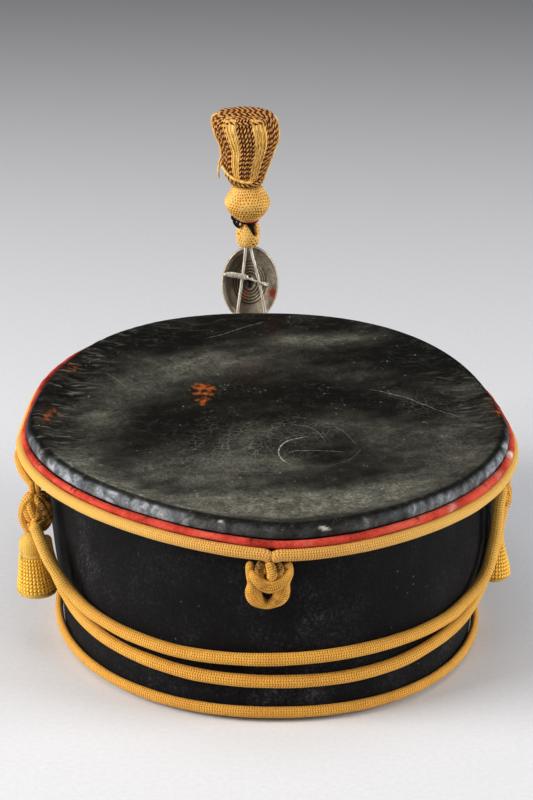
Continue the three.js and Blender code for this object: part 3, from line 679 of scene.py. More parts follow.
def crown_wall():
    turn = all_round(420)
    flare = smooth_line(FELT_FLARE, between=4)
    top = rim_height(turn) - FLARE_DROP
    swell = SWELL * bell(np.degrees(turn), SWELL_AT, SWELL_SPREAD)
    rows = []
    for share in np.linspace(0, 1, WALL_ROWS):
        tucked = HEM_ROUND * (1 - math.sqrt(1 - (1 - min(share * 70, HEM_ROUND) / HEM_ROUND) ** 2))
        belly = swell * math.sin(math.pi * share ** 1.7) ** 1.2
        rows.append(on_wall(turn, share * top, belly - tucked))
    rows += [beside_rim(turn, np.full(len(turn), out), up) for out, up in flare]
    rows += [on_wall(turn, share * top, -FELT_THICK) for share in np.linspace(0.97, 0.01, 10)]
    rows.append(on_wall(turn, 0 * top, -FELT_THICK + 0.6))
    rings = np.array(rows)
    out = rings - rings.mean((0, 1))
    out[..., 2] = 0
    out /= np.linalg.norm(out, axis=-1, keepdims=True)
    outer = np.zeros(len(rings))
    outer[4:WALL_ROWS - 2] = 1
    lumps = 0.22 * unevenness(rings, 34, 3) + 0.07 * unevenness(rings, 6, 4)
    rings += out * (lumps * outer[:, None])[..., None]
    piece("felt_wall", [shell(rings, closed=True)], [FELT], ["crown_wall"])


LID_THICK, LID_EDGE_IN, LID_EDGE_UP, LID_DISH = 1.8, 10.5, 4.2, 3.2
# Section of the rolled edge, outside and inside: out and up from the rim's line.
LID_OUTSIDE = [
    (-1.7, 0.2), (0, 0.2), (0.5, 1.7), (0.1, 3.5), (-1.2, 4.9), (-3.4, 5.6), (-6.4, 5.2), (-10.5, 4.2),
]
LID_INSIDE = [(-10.5, 2.4), (-5.4, 3.6), (-1.75, 2.75)]
# Dents: across, forward, spread, depth.
DENTS = [(44, 34, 30, 1.5), (-38, 4, 24, 1.1), (22, -38, 22, 0.9), (4, 62, 24, -0.9), (-6, -14, 16, -0.7)]

# Marks on the leather: across, forward, half length, half width, turn in degrees, strength.
# Places greyed by dust and painted sheen come first, then those left dark.
HAZE = [
    (-72, -8, 15, 24, 0, 0.6), (-64, 22, 26, 14, 55, 0.6), (-46, 54, 28, 15, 40, 0.85),
    (-20, 64, 26, 15, 12, 0.85), (-30, -66, 34, 10, 0, 0.6), (-50, -50, 14, 20, 0, 0.5),
    (24, 92, 28, 8, 8, 0.95), (46, 96, 14, 6, 0, 0.6), (10, 76, 12, 14, 0, 0.5),
    (44, 52, 22, 10, 0, 0.25), (-80, -54, 15, 22, -20, 1.2), (-62, -78, 26, 11, -38, 1.3),
    (-28, -92, 32, 13, -14, 1.4), (4, -90, 36, 15, 0, 1.3), (34, -84, 32, 14, 18, 1.2),
    (60, -60, 26, 15, 38, 0.8), (78, -36, 14, 24, 12, 0.55), (58, -26, 26, 20, 0, 0.5),
    (40, -10, 12, 16, 0, 0.6), (84, -6, 12, 14, 0, 0.5), (-22, -44, 22, 16, 0, 0.75),
    (0, -48, 20, 13, 0, 0.75), (-8, -18, 16, 12, 0, 0.45), (18, -6, 16, 8, 0, 0.4),
    (86, 32, 8, 7, 0, 0.7), (58, 28, 9, 4, -45, 0.7),
]
DARK = [
    (24, 26, 40, 13, -8, 1.0), (-30, 4, 24, 16, 30, 0.8), (-40, 94, 36, 16, 28, 0.9),
    (70, 70, 26, 26, -40, 0.8), (20, -40, 10, 9, 0, 0.7), (-52, -24, 12, 22, 0, 0.6),
    (0, 110, 16, 10, 0, 0.7), (-88, 36, 12, 30, -10, 0.5),
]
# Where the wax has crazed into a fine pale mesh.
CRAZED = [
    (-18, -38, 26, 22, 0, 0.9), (-10, -12, 20, 14, 0, 0.5), (14, -12, 14, 12, 0, 0.6),
    (-28, -58, 22, 12, 0, 0.7), (-20, 44, 16, 16, 0, 0.35), (66, 16, 14, 20, 30, 0.4),
]
# Rust that has run into the wax.
STAINS = [
    (-28.5, 36, 3.4, 4.6, 0, 1.0), (-24, 33.5, 2.2, 4.4, 0, 0.9), (-30, 29, 2.6, 2.4, 0, 0.8),
    (-25.5, 27, 2.6, 2.4, 0, 0.8), (-27.5, 20.5, 2.4, 3.4, 0, 1.1), (-92.5, -1, 2.6, 6, 0, 0.6),
    (-90, 8, 2.4, 4, 0, 0.4), (97, 4, 2.2, 12, 0, 0.6), (-84, 55, 3, 6, 0, 0.5), (-93, -38, 2, 3, 0, 0.6),
]
# White chips on the rolled edge, and places browned by old wax.
CHIPS = [
    (14.5, -113, 3.2, 1.6, 6, 1.3), (20, -112, 3.4, 1.4, 8, 1.2), (27, -110.5, 1.6, 1.2, 0, 1.1),
    (-80.5, -72.5, 3.2, 2.2, -40, 1.2), (-74, -79, 2.6, 1.6, -40, 1.2), (-87, -62, 1.8, 2.4, 0, 1.1),
    (-52, -97.5, 2.2, 1.0, -25, 1.0), (-24, -108, 1.6, 1.6, 0, 0.9),
]
BROWNED = [
    (8, 104, 5, 24, 0, 0.25), (-6, 52, 10, 14, 0, 0.35), (96, 6, 5, 16, 0, 0.5),
    (-88, 54, 6, 14, -20, 0.4), (-92, 2, 5, 12, 0, 0.4), (74, -46, 4, 12, 0, 0.3),
]
# Scratches on the leather: the points of each, across and forward, and its strength.
SCRATCHES = [
    ([(14, -18.5), (7.3, -22.5), (2.8, -30.5), (2.0, -38.3), (3.8, -44.5), (5.4, -46.6)], 1.0),
    ([(4.4, -38.5), (7.5, -33.6), (12.0, -32.1), (20, -31.6), (28.4, -33.6)], 0.35),
    ([(10, 3.4), (21.4, -2.6), (29.8, -13.5), (34.5, -27.5)], 0.18),
    ([(36, -31), (28.7, -44.2), (17.8, -52.1), (8, -54)], 0.12),
    ([(45.6, 38), (56, 29), (68.4, 14.7), (80.4, 1)], 0.45),
    ([(-24, 94), (-12, 103), (-2.9, 111), (2.0, 114)], 0.4),
    ([(8, -5.3), (14, -7.0), (19, -13), (21.6, -22)], 0.3),
    ([(-60, 34), (-66, 46), (-70, 52)], 0.25),
]
SCRATCH_REACH = 2.5
# Values for points that lie off the rolled edge: far in from the rim's line, and well above it.
FAR_IN, WELL_ABOVE = -99.0, 9.0


def dent_depth(x, y):
    return sum(
        depth * np.exp(-2 * (((x - across) ** 2 + (y - forward) ** 2) / spread ** 2))
        for across, forward, spread, depth in DENTS
    )


def patches(x, y, table):
    """Sum of soft oval patches: the strongest places reach 1."""
    total = np.zeros_like(x)
    for across, forward, half_long, half_wide, lean, strength in table:
        c, s = math.cos(math.radians(lean)), math.sin(math.radians(lean))
        u = ((x - across) * c + (y - forward) * s) / half_long
        v = ((y - forward) * c - (x - across) * s) / half_wide
        total += strength * np.exp(-1.2 * (u * u + v * v))
    return total


def scratch_marks(x, y):
    """Signed distance to the nearest scratch, and its strength where it runs."""
    off = np.full(x.shape, SCRATCH_REACH)
    on = np.zeros(x.shape)
    nearest = np.full(x.shape, np.inf)
    for knots, strength in SCRATCHES:
        line, at, length = even_steps(smooth_line(knots), 0.8)
        ahead = np.gradient(line, axis=0)
        ahead /= np.linalg.norm(ahead, axis=1, keepdims=True)
        middle = line.mean(0)
        spread = np.abs(line - middle).max() + 4
        for i, k in np.argwhere((np.abs(x - middle[0]) < spread) & (np.abs(y - middle[1]) < spread)):
            away = np.array([x[i, k], y[i, k]]) - line
            n = np.argmin((away ** 2).sum(1))
            distance = math.hypot(*away[n])
            if distance < nearest[i, k] and distance < SCRATCH_REACH:
                nearest[i, k] = distance
                off[i, k] = ahead[n, 0] * away[n, 1] - ahead[n, 1] * away[n, 0]
                within = abs(ahead[n] @ away[n]) < 0.8
                on[i, k] = strength * within * min(1, 0.2 + at[n] / 3, 0.2 + (length - at[n]) / 3)
    return off, on


def lid_rings(turn):
    """The leather's rings, from under its plate and over the rolled edge to the middle of its top.

    With them: how far out each point lies from the rim's line, how high above it, and whether it is on top.
    """
    edge = beside_rim(turn, np.full(len(turn), -LID_EDGE_IN), 0)

    def plate(share, up):
        x, y = edge[:, 0] * share, edge[:, 1] * share
        dip = (rim_level(edge[:, 1]) - edge[:, 2]) * share
        fade = 1 - share ** 6
        z = rim_level(y) - dip - LID_DISH * (1 - share ** 2) - dent_depth(x, y) * fade + up
        return np.stack([x, y, z], -1)

    roll = smooth_line(LID_OUTSIDE, between=6)
    inner = smooth_line(LID_INSIDE, between=3)
    plate_shares = np.linspace(0.99, 0.012, 96)
    rows = [plate(share, LID_EDGE_UP - LID_THICK) for share in np.linspace(0.04, 0.96, 12)]
    rows += [beside_rim(turn, np.full(len(turn), out), up) for out, up in inner]
    under = len(rows)
    rows += [beside_rim(turn, out - 0.5 * lifted(turn) * (out > -2), up) for out, up in roll]
    rows += [plate(share, LID_EDGE_UP) for share in plate_shares]
    rings = np.array(rows)
    on_top = np.arange(len(rings))[:, None] >= under
    over = under + len(roll)
    out = np.full(rings.shape[:2], FAR_IN)
    out[under:over] = roll[:, :1]
    out[over:] = -LID_EDGE_IN - (1 - plate_shares[:, None]) * np.hypot(edge[:, 0], edge[:, 1])
    up = np.full(rings.shape[:2], WELL_ABOVE)
    up[under:over] = roll[:, 1:2]
    return rings, out, up, on_top


def crown_lid():
    turn = all_round(480)
    rings, out, up, on_top = lid_rings(turn)
    x, y, flat = rings[..., 0], rings[..., 1], rings[..., :2]
    polar = np.degrees(np.arctan2(y, x))

    # The leather is gathered in fine creases over the edge at the left and right.
    gather = bell(np.abs(polar), 172, 28) + 0.9 * bell(polar, 8, 24) + 0.6 * bell(polar, 140, 22) + 0.15
    gathered = gather * on_top * ramp(out, -34, -12) * (1 - ramp(out, -3, -0.5))
    circle = np.stack([np.cos(turn) * 100, np.sin(turn) * 100], -1)
    crease = unevenness(circle, 2.4, 11, 40)[None] + 0.6 * unevenness(flat, 3.2, 12, 24)
    crease = crease + 0.15 * unevenness(flat, 9, 19)
    rings[..., 2] += 0.16 * gathered * crease
    lumps = 0.3 * unevenness(flat, 22, 13) + 0.12 * unevenness(flat, 8, 14) + 0.05 * unevenness(flat, 3, 20)
    rings[..., 2] += on_top * (1 - ramp(out, -14, -4)) * lumps

    # Dust and its painted sheen are streaked the way cloth dragged the dust, and left off the crest as
    # painted shade.
    streaked = np.stack([0.25 * (x * 0.87 + y * 0.5), y * 0.87 - x * 0.5], -1)
    dust_and_sheen = 0.1 + 0.72 * patches(x, y, HAZE) - 0.5 * patches(x, y, DARK)
    dust_and_sheen += 0.1 * unevenness(flat, 14, 15) + 0.08 * unevenness(streaked, 4, 25) + 0.12 * crease * gathered
    dust_and_sheen = 0.5 * (dust_and_sheen + np.sqrt(dust_and_sheen ** 2 + 0.05))
    # A thin dark line of painted shade along the inner side of the crest.
    crest = on_top * ramp(up, 3.4, 4.2) * ramp(out, -3.6, -2.4)
    dust_and_sheen = np.clip(dust_and_sheen, 0, 1.2) * (1 - 0.85 * crest)

    # The rolled edge's outer face is worn and painted with a blue-grey reflection, most of all at the two
    # rear corners.
    rubbed_and_lit = bell(polar, -143, 20) + 0.6 * bell(polar, -120, 12) + 0.9 * bell(polar, -24, 20)
    rubbed_and_lit = rubbed_and_lit + 0.5 * bell(polar, -54, 14) + 0.14
    face = on_top * (1 - ramp(up, 4.1, 5.2)) * ramp(out, -3.3, -1.8)
    patchy = 0.75 + 0.4 * unevenness(flat, 9, 16) + 0.35 * unevenness(flat, 2.5, 17)
    wear_and_sheen = np.clip(face * rubbed_and_lit * np.clip(patchy, 0.1, 1.3), 0, 1)

    chips = patches(x, y, CHIPS) * (0.8 + 0.7 * unevenness(flat * (0.5, 1.0), 1.4, 26))
    chips = on_top * ramp(chips, 0.6, 0.85) * ramp(up, 2.2, 3.2) * ramp(out, -4.6, -3.4)
    stains = patches(x, y, STAINS)
    rust = stains * 1.4 + 0.45 * unevenness(flat, 1.8, 18) * (stains > 0.05) - 0.55
    brown = patches(x, y, BROWNED) * (1 + 0.5 * unevenness(flat, 4, 27))
    crazed = patches(x, y, CRAZED) * (0.7 + 0.5 * unevenness(flat, 7, 28))
    off, on = scratch_marks(x, y)
    strengths = (
        dust_and_sheen, np.clip(crazed, 0, 1) * on_top, wear_and_sheen, chips, np.clip(rust, 0, 1) * on_top * ramp(up, 3, 4),
        np.clip(brown, 0, 1) * on_top, off, on * on_top, gathered,
    )
    made = shell(rings, marks=dict(zip(LEATHER_MARKS, strengths)))
    piece("leather_top", [made], [LEATHER], ["crown_lid"])


def lifted(turn):
    """Where the red piping and the cord stand out past the leather: far left, and a little at the right."""
    polar = np.degrees(turn) % 360
    left = ramp(polar, 114, 136) * (1 - ramp(polar, 158, 180))
    return left + 0.45 * bell(polar, 12, 9)


RING_POINTS = 2880
GAP = 0.3
UP = (0, 0, 1)
# Radius, how far out of the rim's line and how far below it. Where they are lifted, they go out and up too.
PIPING_RADIUS, PIPING_OUT, PIPING_BELOW = 1.45, 1.0, 1.5
RIM_CORD_RADIUS, RIM_CORD_OUT, RIM_CORD_BELOW = 2.3, 2.55, 5.0
PIPING_LIFT_OUT, RIM_CORD_LIFT_OUT, LIFT_UP = 1.7, 1.5, 2.2

# Where the red cloth is nicked by the seam's needle, and where it is scuffed white, by angle round the rim.
NICKS = (-158.5, -157, -141, -139.5, -118, -96, -62, -38)
SCUFFS = {-17: 1.0, -30: 0.22, -52: 0.2}


def piping():
    turn = all_round(RING_POINTS)
    lift = lifted(turn)
    line = beside_rim(turn, PIPING_OUT + PIPING_LIFT_OUT * lift, LIFT_UP * lift - PIPING_BELOW)
    line, at, length = even_steps(line, 0.9, True)
    line[:, 2] += 0.1 * unevenness(line, 16, 21)
    polar = np.degrees(np.arctan2(line[:, 1], line[:, 0]))
    full = 0.28 * bell(polar, -40, 22) + 0.3 * bell(polar, -4, 14)
    line[:, :2] += (0.35 * full)[:, None] * line[:, :2] / np.linalg.norm(line[:, :2], axis=1)[:, None]
    side, above = line_frame(line, True, UP)
    turn = all_round(14)
    r = PIPING_RADIUS * (1 + full + 0.05 * unevenness(line, 5, 22) + 0.04 * unevenness(line, 14, 23))[:, None]
    rings = line[:, None] + side[:, None] * (np.cos(turn) * r)[..., None]
    rings = rings + above[:, None] * (np.sin(turn) * r)[..., None]
    white = sum(strength * bell(polar, place, 1.6) for place, strength in SCUFFS.items())
    white = np.clip(white[:, None] * 1.6 * (0.6 + 0.6 * unevenness(rings, 2, 24)), 0, 1)
    dark = sum(bell(polar, place, 0.3) for place in NICKS)[:, None] * ramp(np.sin(turn), 0.2, 0.7)
    marks = {"chip": white, "nick": np.clip(0.9 * dark, 0, 1)}
    made = shell(rings, np.append(at, length), np.arange(15), True, marks)
    piece("red_piping", [made], [RED], ["rim_piping"])


LOOP_ACROSS, LOOP_ANGLE = -5.3, math.radians(267)
# The rim cord's ends: how far left of the loop they meet in radians, how far they are pushed past each other,
# how far they dip and over what length. They lie this far from the axis, and the cord is about this long.
MEET_LEFT, ENDS_PAST, ENDS_DIP, DIP_SPREAD = 0.018, 0.7, 1.5, 3.2
REAR_REACH, RIM_CORD_LENGTH = 115, 700


def rim_cord():
    """The cord's two ends meet behind, over the loop, and dip into a small notch."""
    start = LOOP_ANGLE - MEET_LEFT - ENDS_PAST / REAR_REACH
    turn = np.linspace(start, start + 2 * math.pi + 2 * ENDS_PAST / REAR_REACH, RING_POINTS)
    lift = lifted(turn)
    line = beside_rim(turn, RIM_CORD_OUT + RIM_CORD_LIFT_OUT * lift, LIFT_UP * lift - RIM_CORD_BELOW)
    points = np.arange(RING_POINTS)
    from_end = np.minimum(points, RING_POINTS - 1 - points) * RIM_CORD_LENGTH / RING_POINTS
    line[:, 2] -= ENDS_DIP * bell(from_end, 0, DIP_SPREAD)

    def paler_sides(rings):
        """The cord is painted paler where it goes round the sides."""
        return {"paler_sides": 0.45 * ramp(np.abs(rings[..., 0]), 15, 80)}

    cover = cord(line, RIM_CORD_RADIUS, braided(), step=0.31, reference=UP, seed=31, marks=paler_sides)
    piece("rim_cord_braid", [cover], [RIM_BRAID], ["rim_cord"])


# Half thickness and half height, height of its middle, how far it rises in front, and from which angle.
BASE_CORD_THICK, BASE_CORD_TALL, BASE_CORD_HEIGHT, BASE_CORD_RISE, RISE_FROM = 1.7, 2.3, 3.9, 10.0, 18.0


def base_cord():
    """The cord round the felt's lower edge rises over the peak in front."""
    turn = all_round(RING_POINTS)
    share = (np.degrees(turn) - RISE_FROM) / (180 - 2 * RISE_FROM)
    rise = BASE_CORD_RISE * np.sin(math.pi * np.clip(share, 0, 1)) ** 1.3
    rise = np.where((share > 0) & (share < 1), rise, 0)
    line = on_wall(turn, BASE_CORD_HEIGHT + rise, GAP + BASE_CORD_THICK)
    cover = cord(line, BASE_CORD_TALL, braided(), step=0.34, closed=True, reference=UP,
                 thick=BASE_CORD_THICK / BASE_CORD_TALL, seed=32)
    piece("base_cord_braid", [cover], [BRAID], ["base_cord"])


# Festoon cords: place along the wall in degrees, height, distance off the felt.
FESTOON_RADIUS = 2.45
FESTOON_UPPER = [
    (204.1, 57.0, 12.8), (204.6, 54.2, 12.2), (205.9, 49.3, 11.4), (207.3, 43.6, 10.2),
    (209.3, 37.1, 7.6), (211.6, 31.4, 4.6), (216, 28.2, 3.2), (224, 27.0, 2.9), (232, 26.5, 2.9),
    (245, 26.2, 2.9), (260, 27.2, 2.9), (275, 28.1, 2.9), (290, 28.4, 2.9), (305, 28.2, 2.9),
    (318, 28.0, 2.9), (324, 29.2, 3.3), (328.7, 32.0, 4.9), (332.1, 38.2, 7.2), (333.8, 46.2, 7.7),
    (334.3, 53.5, 8.1), (334.5, 59.5, 8.0), (334.8, 66.0, 7.9), (335.0, 72.1, 8.4),
]
FESTOON_LOWER = [
    (203.7, 51.0, 8.2), (204.7, 44.0, 8.2), (206.2, 35.5, 6.4), (208, 28.2, 4.2), (211.5, 23.8, 3.1),
    (217, 21.6, 2.9), (225, 20.0, 2.9), (235, 19.0, 2.9), (250, 18.1, 2.9), (267, 18.1, 2.9),
    (285, 18.0, 2.9), (300, 18.7, 2.9), (313, 20.6, 2.9), (323, 22.0, 2.9), (330.5, 24.2, 3.1),
    (334.2, 29.2, 4.4), (336.2, 35.5, 6.0), (337.2, 42.7, 7.2), (337.6, 48.0, 7.7), (337.6, 54.4, 8.0),
    (338.2, 58.4, 8.3), (338.8, 61.5, 8.4),
]


def festoon(name, rows, node, seed):
    route = smooth_line([on_wall(np.radians(turn), np.array(height), off) for turn, height, off in rows])

    def soil_and_shade(rings):
        """The sides that lie against the felt and the undersides are painted brown: dirt and painted shade.
        """
        middle = rings.mean(1, keepdims=True)
        under = (middle - rings)[..., 2] / FESTOON_RADIUS
        inner = np.hypot(middle[..., 0], middle[..., 1]) - np.hypot(rings[..., 0], rings[..., 1])
        soil = np.clip(0.75 * ramp(under + 0.5 * inner / FESTOON_RADIUS, 0.75, 1.3), 0, 1)
        # The festoon is painted paler where it goes round the sides.
        return {"soil_and_shade": soil, "paler_sides": 0.35 * ramp(np.abs(rings[..., 0]), 55, 95)}

    cover = cord(route, FESTOON_RADIUS, braided(), seed=seed, marks=soil_and_shade)
    piece(name, [cover], [BRAID], [node])


LOOP_NARROWED = 0.92


def loop_spot(x, below, off):
    """Point of the rear loop: beside its middle, below the rim's line and off the felt."""
    height = rim_height(LOOP_ANGLE) - below
    wall = on_wall(np.array(LOOP_ANGLE), height, off)
    return (LOOP_ACROSS + LOOP_NARROWED * x, wall[1], wall[2])


def loop_line(spots):
    return smooth_line([loop_spot(*spot) for spot in spots])


def rear_loop():
    """One cord hangs as a flat ring, its two legs go up to the rim cord, and a collar holds them together."""
    thin = braided(columns=6, pitch=0.8, depth=0.1)
    legs = loop_line([
        (-7.3, 8.6, 7.0), (-7.7, 11.6, 6.2), (-7.3, 15.4, 5.0), (-6.7, 19.0, 4.0), (-6.3, 23.2, 3.3),
        (-3.7, 26.8, 3.2), (-0.2, 28.1, 3.2), (3.6, 26.4, 3.2), (5.9, 22.4, 3.4), (6.8, 18.4, 4.2),
        (7.9, 14.0, 5.4), (7.5, 10.6, 6.4), (6.6, 8.6, 7.4),
    ])

    def leg_radius(share):
        at_ring = 1 - min(1, abs(share - 0.5) / 0.27) ** 3
        return 1.7 + at_ring * (0.9 + 0.75 * math.cos(4 * math.pi * (share - 0.5) / 0.62 + math.pi))

    def soil_and_shade(rings):
        """Dark in the folds near the rim cord, and brown inside the ring: dirt and painted shade."""
        below = rim_height(LOOP_ANGLE) - rings[..., 2]
        across = rings[..., 0] - LOOP_ACROSS
        fold = ramp(-below, -13.6, -10.0) * bell(np.abs(across), 3.6, 2.0)
        inside = 0.7 * np.exp(-(((across - 2.6) / 2.6) ** 2 + ((below - 25.6) / 1.6) ** 2))
        return {"soil_and_shade": np.clip(1.8 * fold + inside + 0.25 * unevenness(rings, 2.2, 45), 0, 1)}

    def strand(spots, thick, sides, seed):
        return cord(loop_line(spots), thick, thin, sides=sides, seed=seed, marks=soil_and_shade)

    leg_braid = braided(columns=14, pitch=0.8, depth=0.07)
    shells = [cord(legs, leg_radius, leg_braid, reference=(0, -1, 0.05), seed=44, marks=soil_and_shade)]
    tongue = ((-0.6, 7.2, 8.6), (0.5, 9.8, 9.4), (1.1, 12.6, 9.2), (0.2, 15.0, 7.6))
    shells.append(strand(tongue, 1.85, 16, 43))
    # The collar: four thin strands side by side that sag under the tongue and turn back behind the legs.
    for n in range(4):
        up = 1.25 * n
        collar = [
            (-7.4, 11.6 - 0.3 * up, 4.4), (-7.0, 14.2 - 0.6 * up, 7.2), (-4.4, 17.8 - up, 8.4 + 0.12 * up),
            (0.0, 20.0 - up, 8.6 + 0.15 * up), (4.4, 18.2 - 0.95 * up, 8.4 + 0.12 * up),
            (7.4, 13.6 - 0.6 * up, 7.4), (8.0, 11.0 - 0.3 * up, 4.8),
        ]
        shells.append(strand(collar, 0.95, 12, 46 + n))
    # The folded ends beside the tongue, and the strand that closes the collar behind.
    for side, below in ((-1, 0.0), (1, 0.3)):
        wing = [(2.6, 7.8, 8.0), (4.1, 10.0, 8.0), (4.3, 12.8, 7.6), (2.4, 15.6, 7.0)]
        shells.append(strand([(side * x, at + below, off) for x, at, off in wing], 1.45, 12, 50))
    behind = ((-5.4, 10.4, 5.6), (-1.8, 11.4, 6.2), (1.8, 11.4, 6.2), (5.4, 10.4, 5.6))
    shells.append(strand(behind, 2.5, 16, 58))
    piece("rear_loop_braid", shells, [BRAID], ["rear_loop"])


# Knots: a three-lead Turk's head, laid double over a core, on a neck that hooks over the rim cord.
# Columns: across, forward, height, radius, half height, place of the hook across.
KNOTS = {"left": (-95.1, -37, 59.0, 6.6, 8.7, -95.7), "right": (91.9, -34, 64.4, 5.3, 6.6, 94.5)}
# Radius of a strand of the left knot, number of bights, and how the right knot is pressed flat.
KNOT_STRAND, KNOT_BIGHTS = 1.65, 4
PRESSED, PRESSED_OUT = 0.62, 1.9


def rim_turn_at(forward):
    """Parameter angle of the rim's left side at a place forward."""
    turn = np.radians(np.linspace(150, 260, 400))
    return np.interp(-forward, -rim_outline(turn)[:, 1], turn)


def side_knot(side):
    across, forward, height, radius, half_tall, hook = KNOTS[side]
    thin = braided(columns=8, pitch=0.9, depth=0.13)
    strand = KNOT_STRAND * radius / KNOTS["left"][3]
    wide = 1.0
    if side == "right":
        # It lies against the swelling of the crown.
        wide, across = PRESSED, across + PRESSED_OUT
    turn = np.linspace(0, 2 * math.pi, 260, endpoint=False)

    def soil_and_shade(rings):
        """The side toward the felt and the camera, and the lower part, are painted dark brown: dirt and
        painted shade.
        """
        toward = ramp(rings[..., 0] - across, -0.6, 2.4) if side == "left" else 0 * rings[..., 0]
        low = ramp(height - rings[..., 2], half_tall * 0.6, half_tall)
        above = ramp(rings[..., 2] - height, half_tall * 0.9, half_tall * 1.2)
        dark = (1.25 * toward + 0.6 * low) * (1 - above) * (0.9 + 0.5 * unevenness(rings, 1.6, 54))
        return {"soil_and_shade": np.clip(dark, 0, 1)}

    shells = []
    for lay in (-0.5, 0.5):
        rise = 1.12 * np.cos(KNOT_BIGHTS * turn)
        lift = 1 + 0.55 * strand / radius * np.sin(2 * KNOT_BIGHTS * turn)
        about = 3 * turn + lay * 2.15 * strand / radius
        flat = (radius - strand) * np.cos(rise) * lift
        line = np.stack([
            across + wide * flat * np.cos(about), forward + flat * np.sin(about),
            height + (half_tall - strand) * np.sin(rise) * lift,
        ], -1)
        shells.append(cord(line, strand, thin, step=0.34, sides=16, closed=True, seed=51, marks=soil_and_shade))
    core = [
        (height + (half_tall - 2) * h, max((radius - 1.6) * wide * math.sqrt(1 - h * h * 0.95), 0.6), across)
        for h in (-1, -0.6, 0, 0.6, 1)
    ]
    shells.append(turned(core, forward, 24, 0.8, marks=soil_and_shade))
    cord_bottom = rim_height_at(hook, forward) - RIM_CORD_BELOW - RIM_CORD_RADIUS
    for beside in (-1.1, 1.1):
        knot_top = (across + beside, forward, height + half_tall * 0.6)
        under_rim = (hook + beside, forward, cord_bottom - 3 * GAP)
        shells.append(cord([knot_top, under_rim], 1.45, thin, sides=16, seed=52))
    if side == "left":
        # A strand lies along the outside of the rim cord, a lobe rounds the knot's outer side, and another
        # strand crosses its hem.
        along_rim = [
            beside_rim(rim_turn_at(forward + y), out, -below)
            for y, out, below in ((5, 4.9, 8.0), (12, 5.1, 7.0), (21, 4.6, 6.2), (31, 3.0, 5.4))
        ]
        route = smooth_line([
            (across - 0.8, forward - 1, height + half_tall * 0.7),
            (hook - 1.4, forward + 0.6, cord_bottom - 2.4), *along_rim,
        ])
        shells.append(cord(route, 1.5, thin, sides=16, seed=53))
        lobe = smooth_line([
            (across - 0.6, forward - 2.6, height + half_tall * 0.92),
            (across - 3.6, forward - 3.2, height + 5.4), (across - 5.2, forward - 2.6, height + 0.8),
            (across - 4.8, forward - 2.4, height - 3.4),
            (across - 2.6, forward - 2.6, height - half_tall * 0.92),
        ])
        shells.append(cord(lobe, 2.0, thin, sides=18, seed=56))
        hem = smooth_line([
            (across - 3.4, forward - 5.0, height - 3.4), (across - 1.0, forward - 6.0, height - 4.2),
            (across + 1.6, forward - 6.0, height - 3.0), (across + 3.8, forward - 4.6, height - 0.6),
        ])
        shells.append(cord(hem, 1.0, thin, sides=14, seed=57, marks=soil_and_shade))
    piece(f"{side}_turks_head", shells, [BRAID], [f"{side}_knot"])


# Tassels from the top down: height, radius, place across.
TASSELS = {
    "left": [
        (49.9, 1.6, -96.8), (48.8, 3.6, -97.0), (46.3, 5.0, -97.1), (43.0, 5.4, -97.1), (41.4, 5.1, -97.0),
        (39.8, 5.8, -96.9), (33.0, 7.0, -96.2), (25.0, 7.9, -95.6), (23.9, 7.9, -95.6), (23.6, 7.2, -95.6),
        (24.2, 5.0, -95.6),
    ],
    "right": [
        (57.4, 1.4, 93.0), (52.6, 1.5, 92.8), (51.2, 2.0, 92.7), (48.2, 2.4, 92.6), (45.2, 2.8, 92.5),
        (42.2, 3.5, 92.4), (36.7, 5.2, 92.2), (31.6, 6.8, 92.0), (29.3, 6.7, 91.9), (27.6, 5.4, 91.8),
        (26.8, 3.4, 91.8),
    ],
}
# The row of each table at which the hem begins.
HEM_ROW = 7
# Where the skirt starts, and where its hem does.
TASSEL_SKIRT = {"left": (40.2, 25.3), "right": (43.0, 29.4)}
BULLION_COLUMNS, BULLION_PITCH, BULLION_DEPTH = 30, 1.55, 0.6
HEAD_COLUMNS, HEAD_PITCH = 44, 0.55


def tassel(side):
    """A smooth netted head over a skirt of bullion, with a flat bound hem."""
    skirt, hem = TASSEL_SKIRT[side]
    across, forward = KNOTS[side][:2]
    rows = TASSELS[side]

    def relief(along, around):
        lean = (along - STITCH_SLANT * (around % 1)) % 1
        rope = np.sin(math.pi * lean) ** 0.8 * np.sin(math.pi * (around % 1)) ** 0.5
        return -BULLION_DEPTH * (1 - rope)

    def soil_and_shade(rings):
        """Browned in the fold under the head, at the hem and on the side toward the felt: dirt and painted
        shade.
        """
        seam = 0.3 * bell(rings[..., 2], skirt - 0.1, 0.5)
        foot = 0.5 * bell(rings[..., 2], hem, 0.5)
        inner = 0.5 * ramp((rings[..., 0] - across) * (1 if side == "left" else -1), 1, 6)
        streak = 0.45 * bell(rings[..., 0], across - 6.1, 0.45) * (side == "left")
        lumps = 0.8 + 0.4 * unevenness(rings, 4, 55)
        return {"soil_and_shade": np.clip((seam + foot + inner + streak) * lumps, 0, 1)}

    head = [row for row in rows if row[0] > skirt]
    _, r, x = head[-1]
    head += [(skirt, r + 0.45, x), (skirt - 0.8, r - 1.4, x)]
    body = [(skirt + 0.5, r - 0.75, x), (skirt, r + 0.45, x), *(row for row in rows if hem < row[0] < skirt)]
    _, r, x = rows[HEM_ROW]
    body += [(hem, r, x), (hem - 0.1, r - 1.2, x)]
    band = [(hem + 0.3, r - 1.0, x), (hem + 0.1, r + 0.1, x), *rows[HEM_ROW + 1:]]
    shells = [turned(part, forward, 80, 0.3, None, HEAD_COLUMNS, HEAD_PITCH, soil_and_shade) for part in (head, band)]
    shells.append(turned(body, forward, 6 * BULLION_COLUMNS, 0.26, relief, BULLION_COLUMNS, BULLION_PITCH,
                         soil_and_shade, 1))
    piece(f"{side}_bullion_tassel", shells, [TASSEL_HEAD, BULLION], [f"{side}_tassel"])


# Front leather, hidden in the photograph

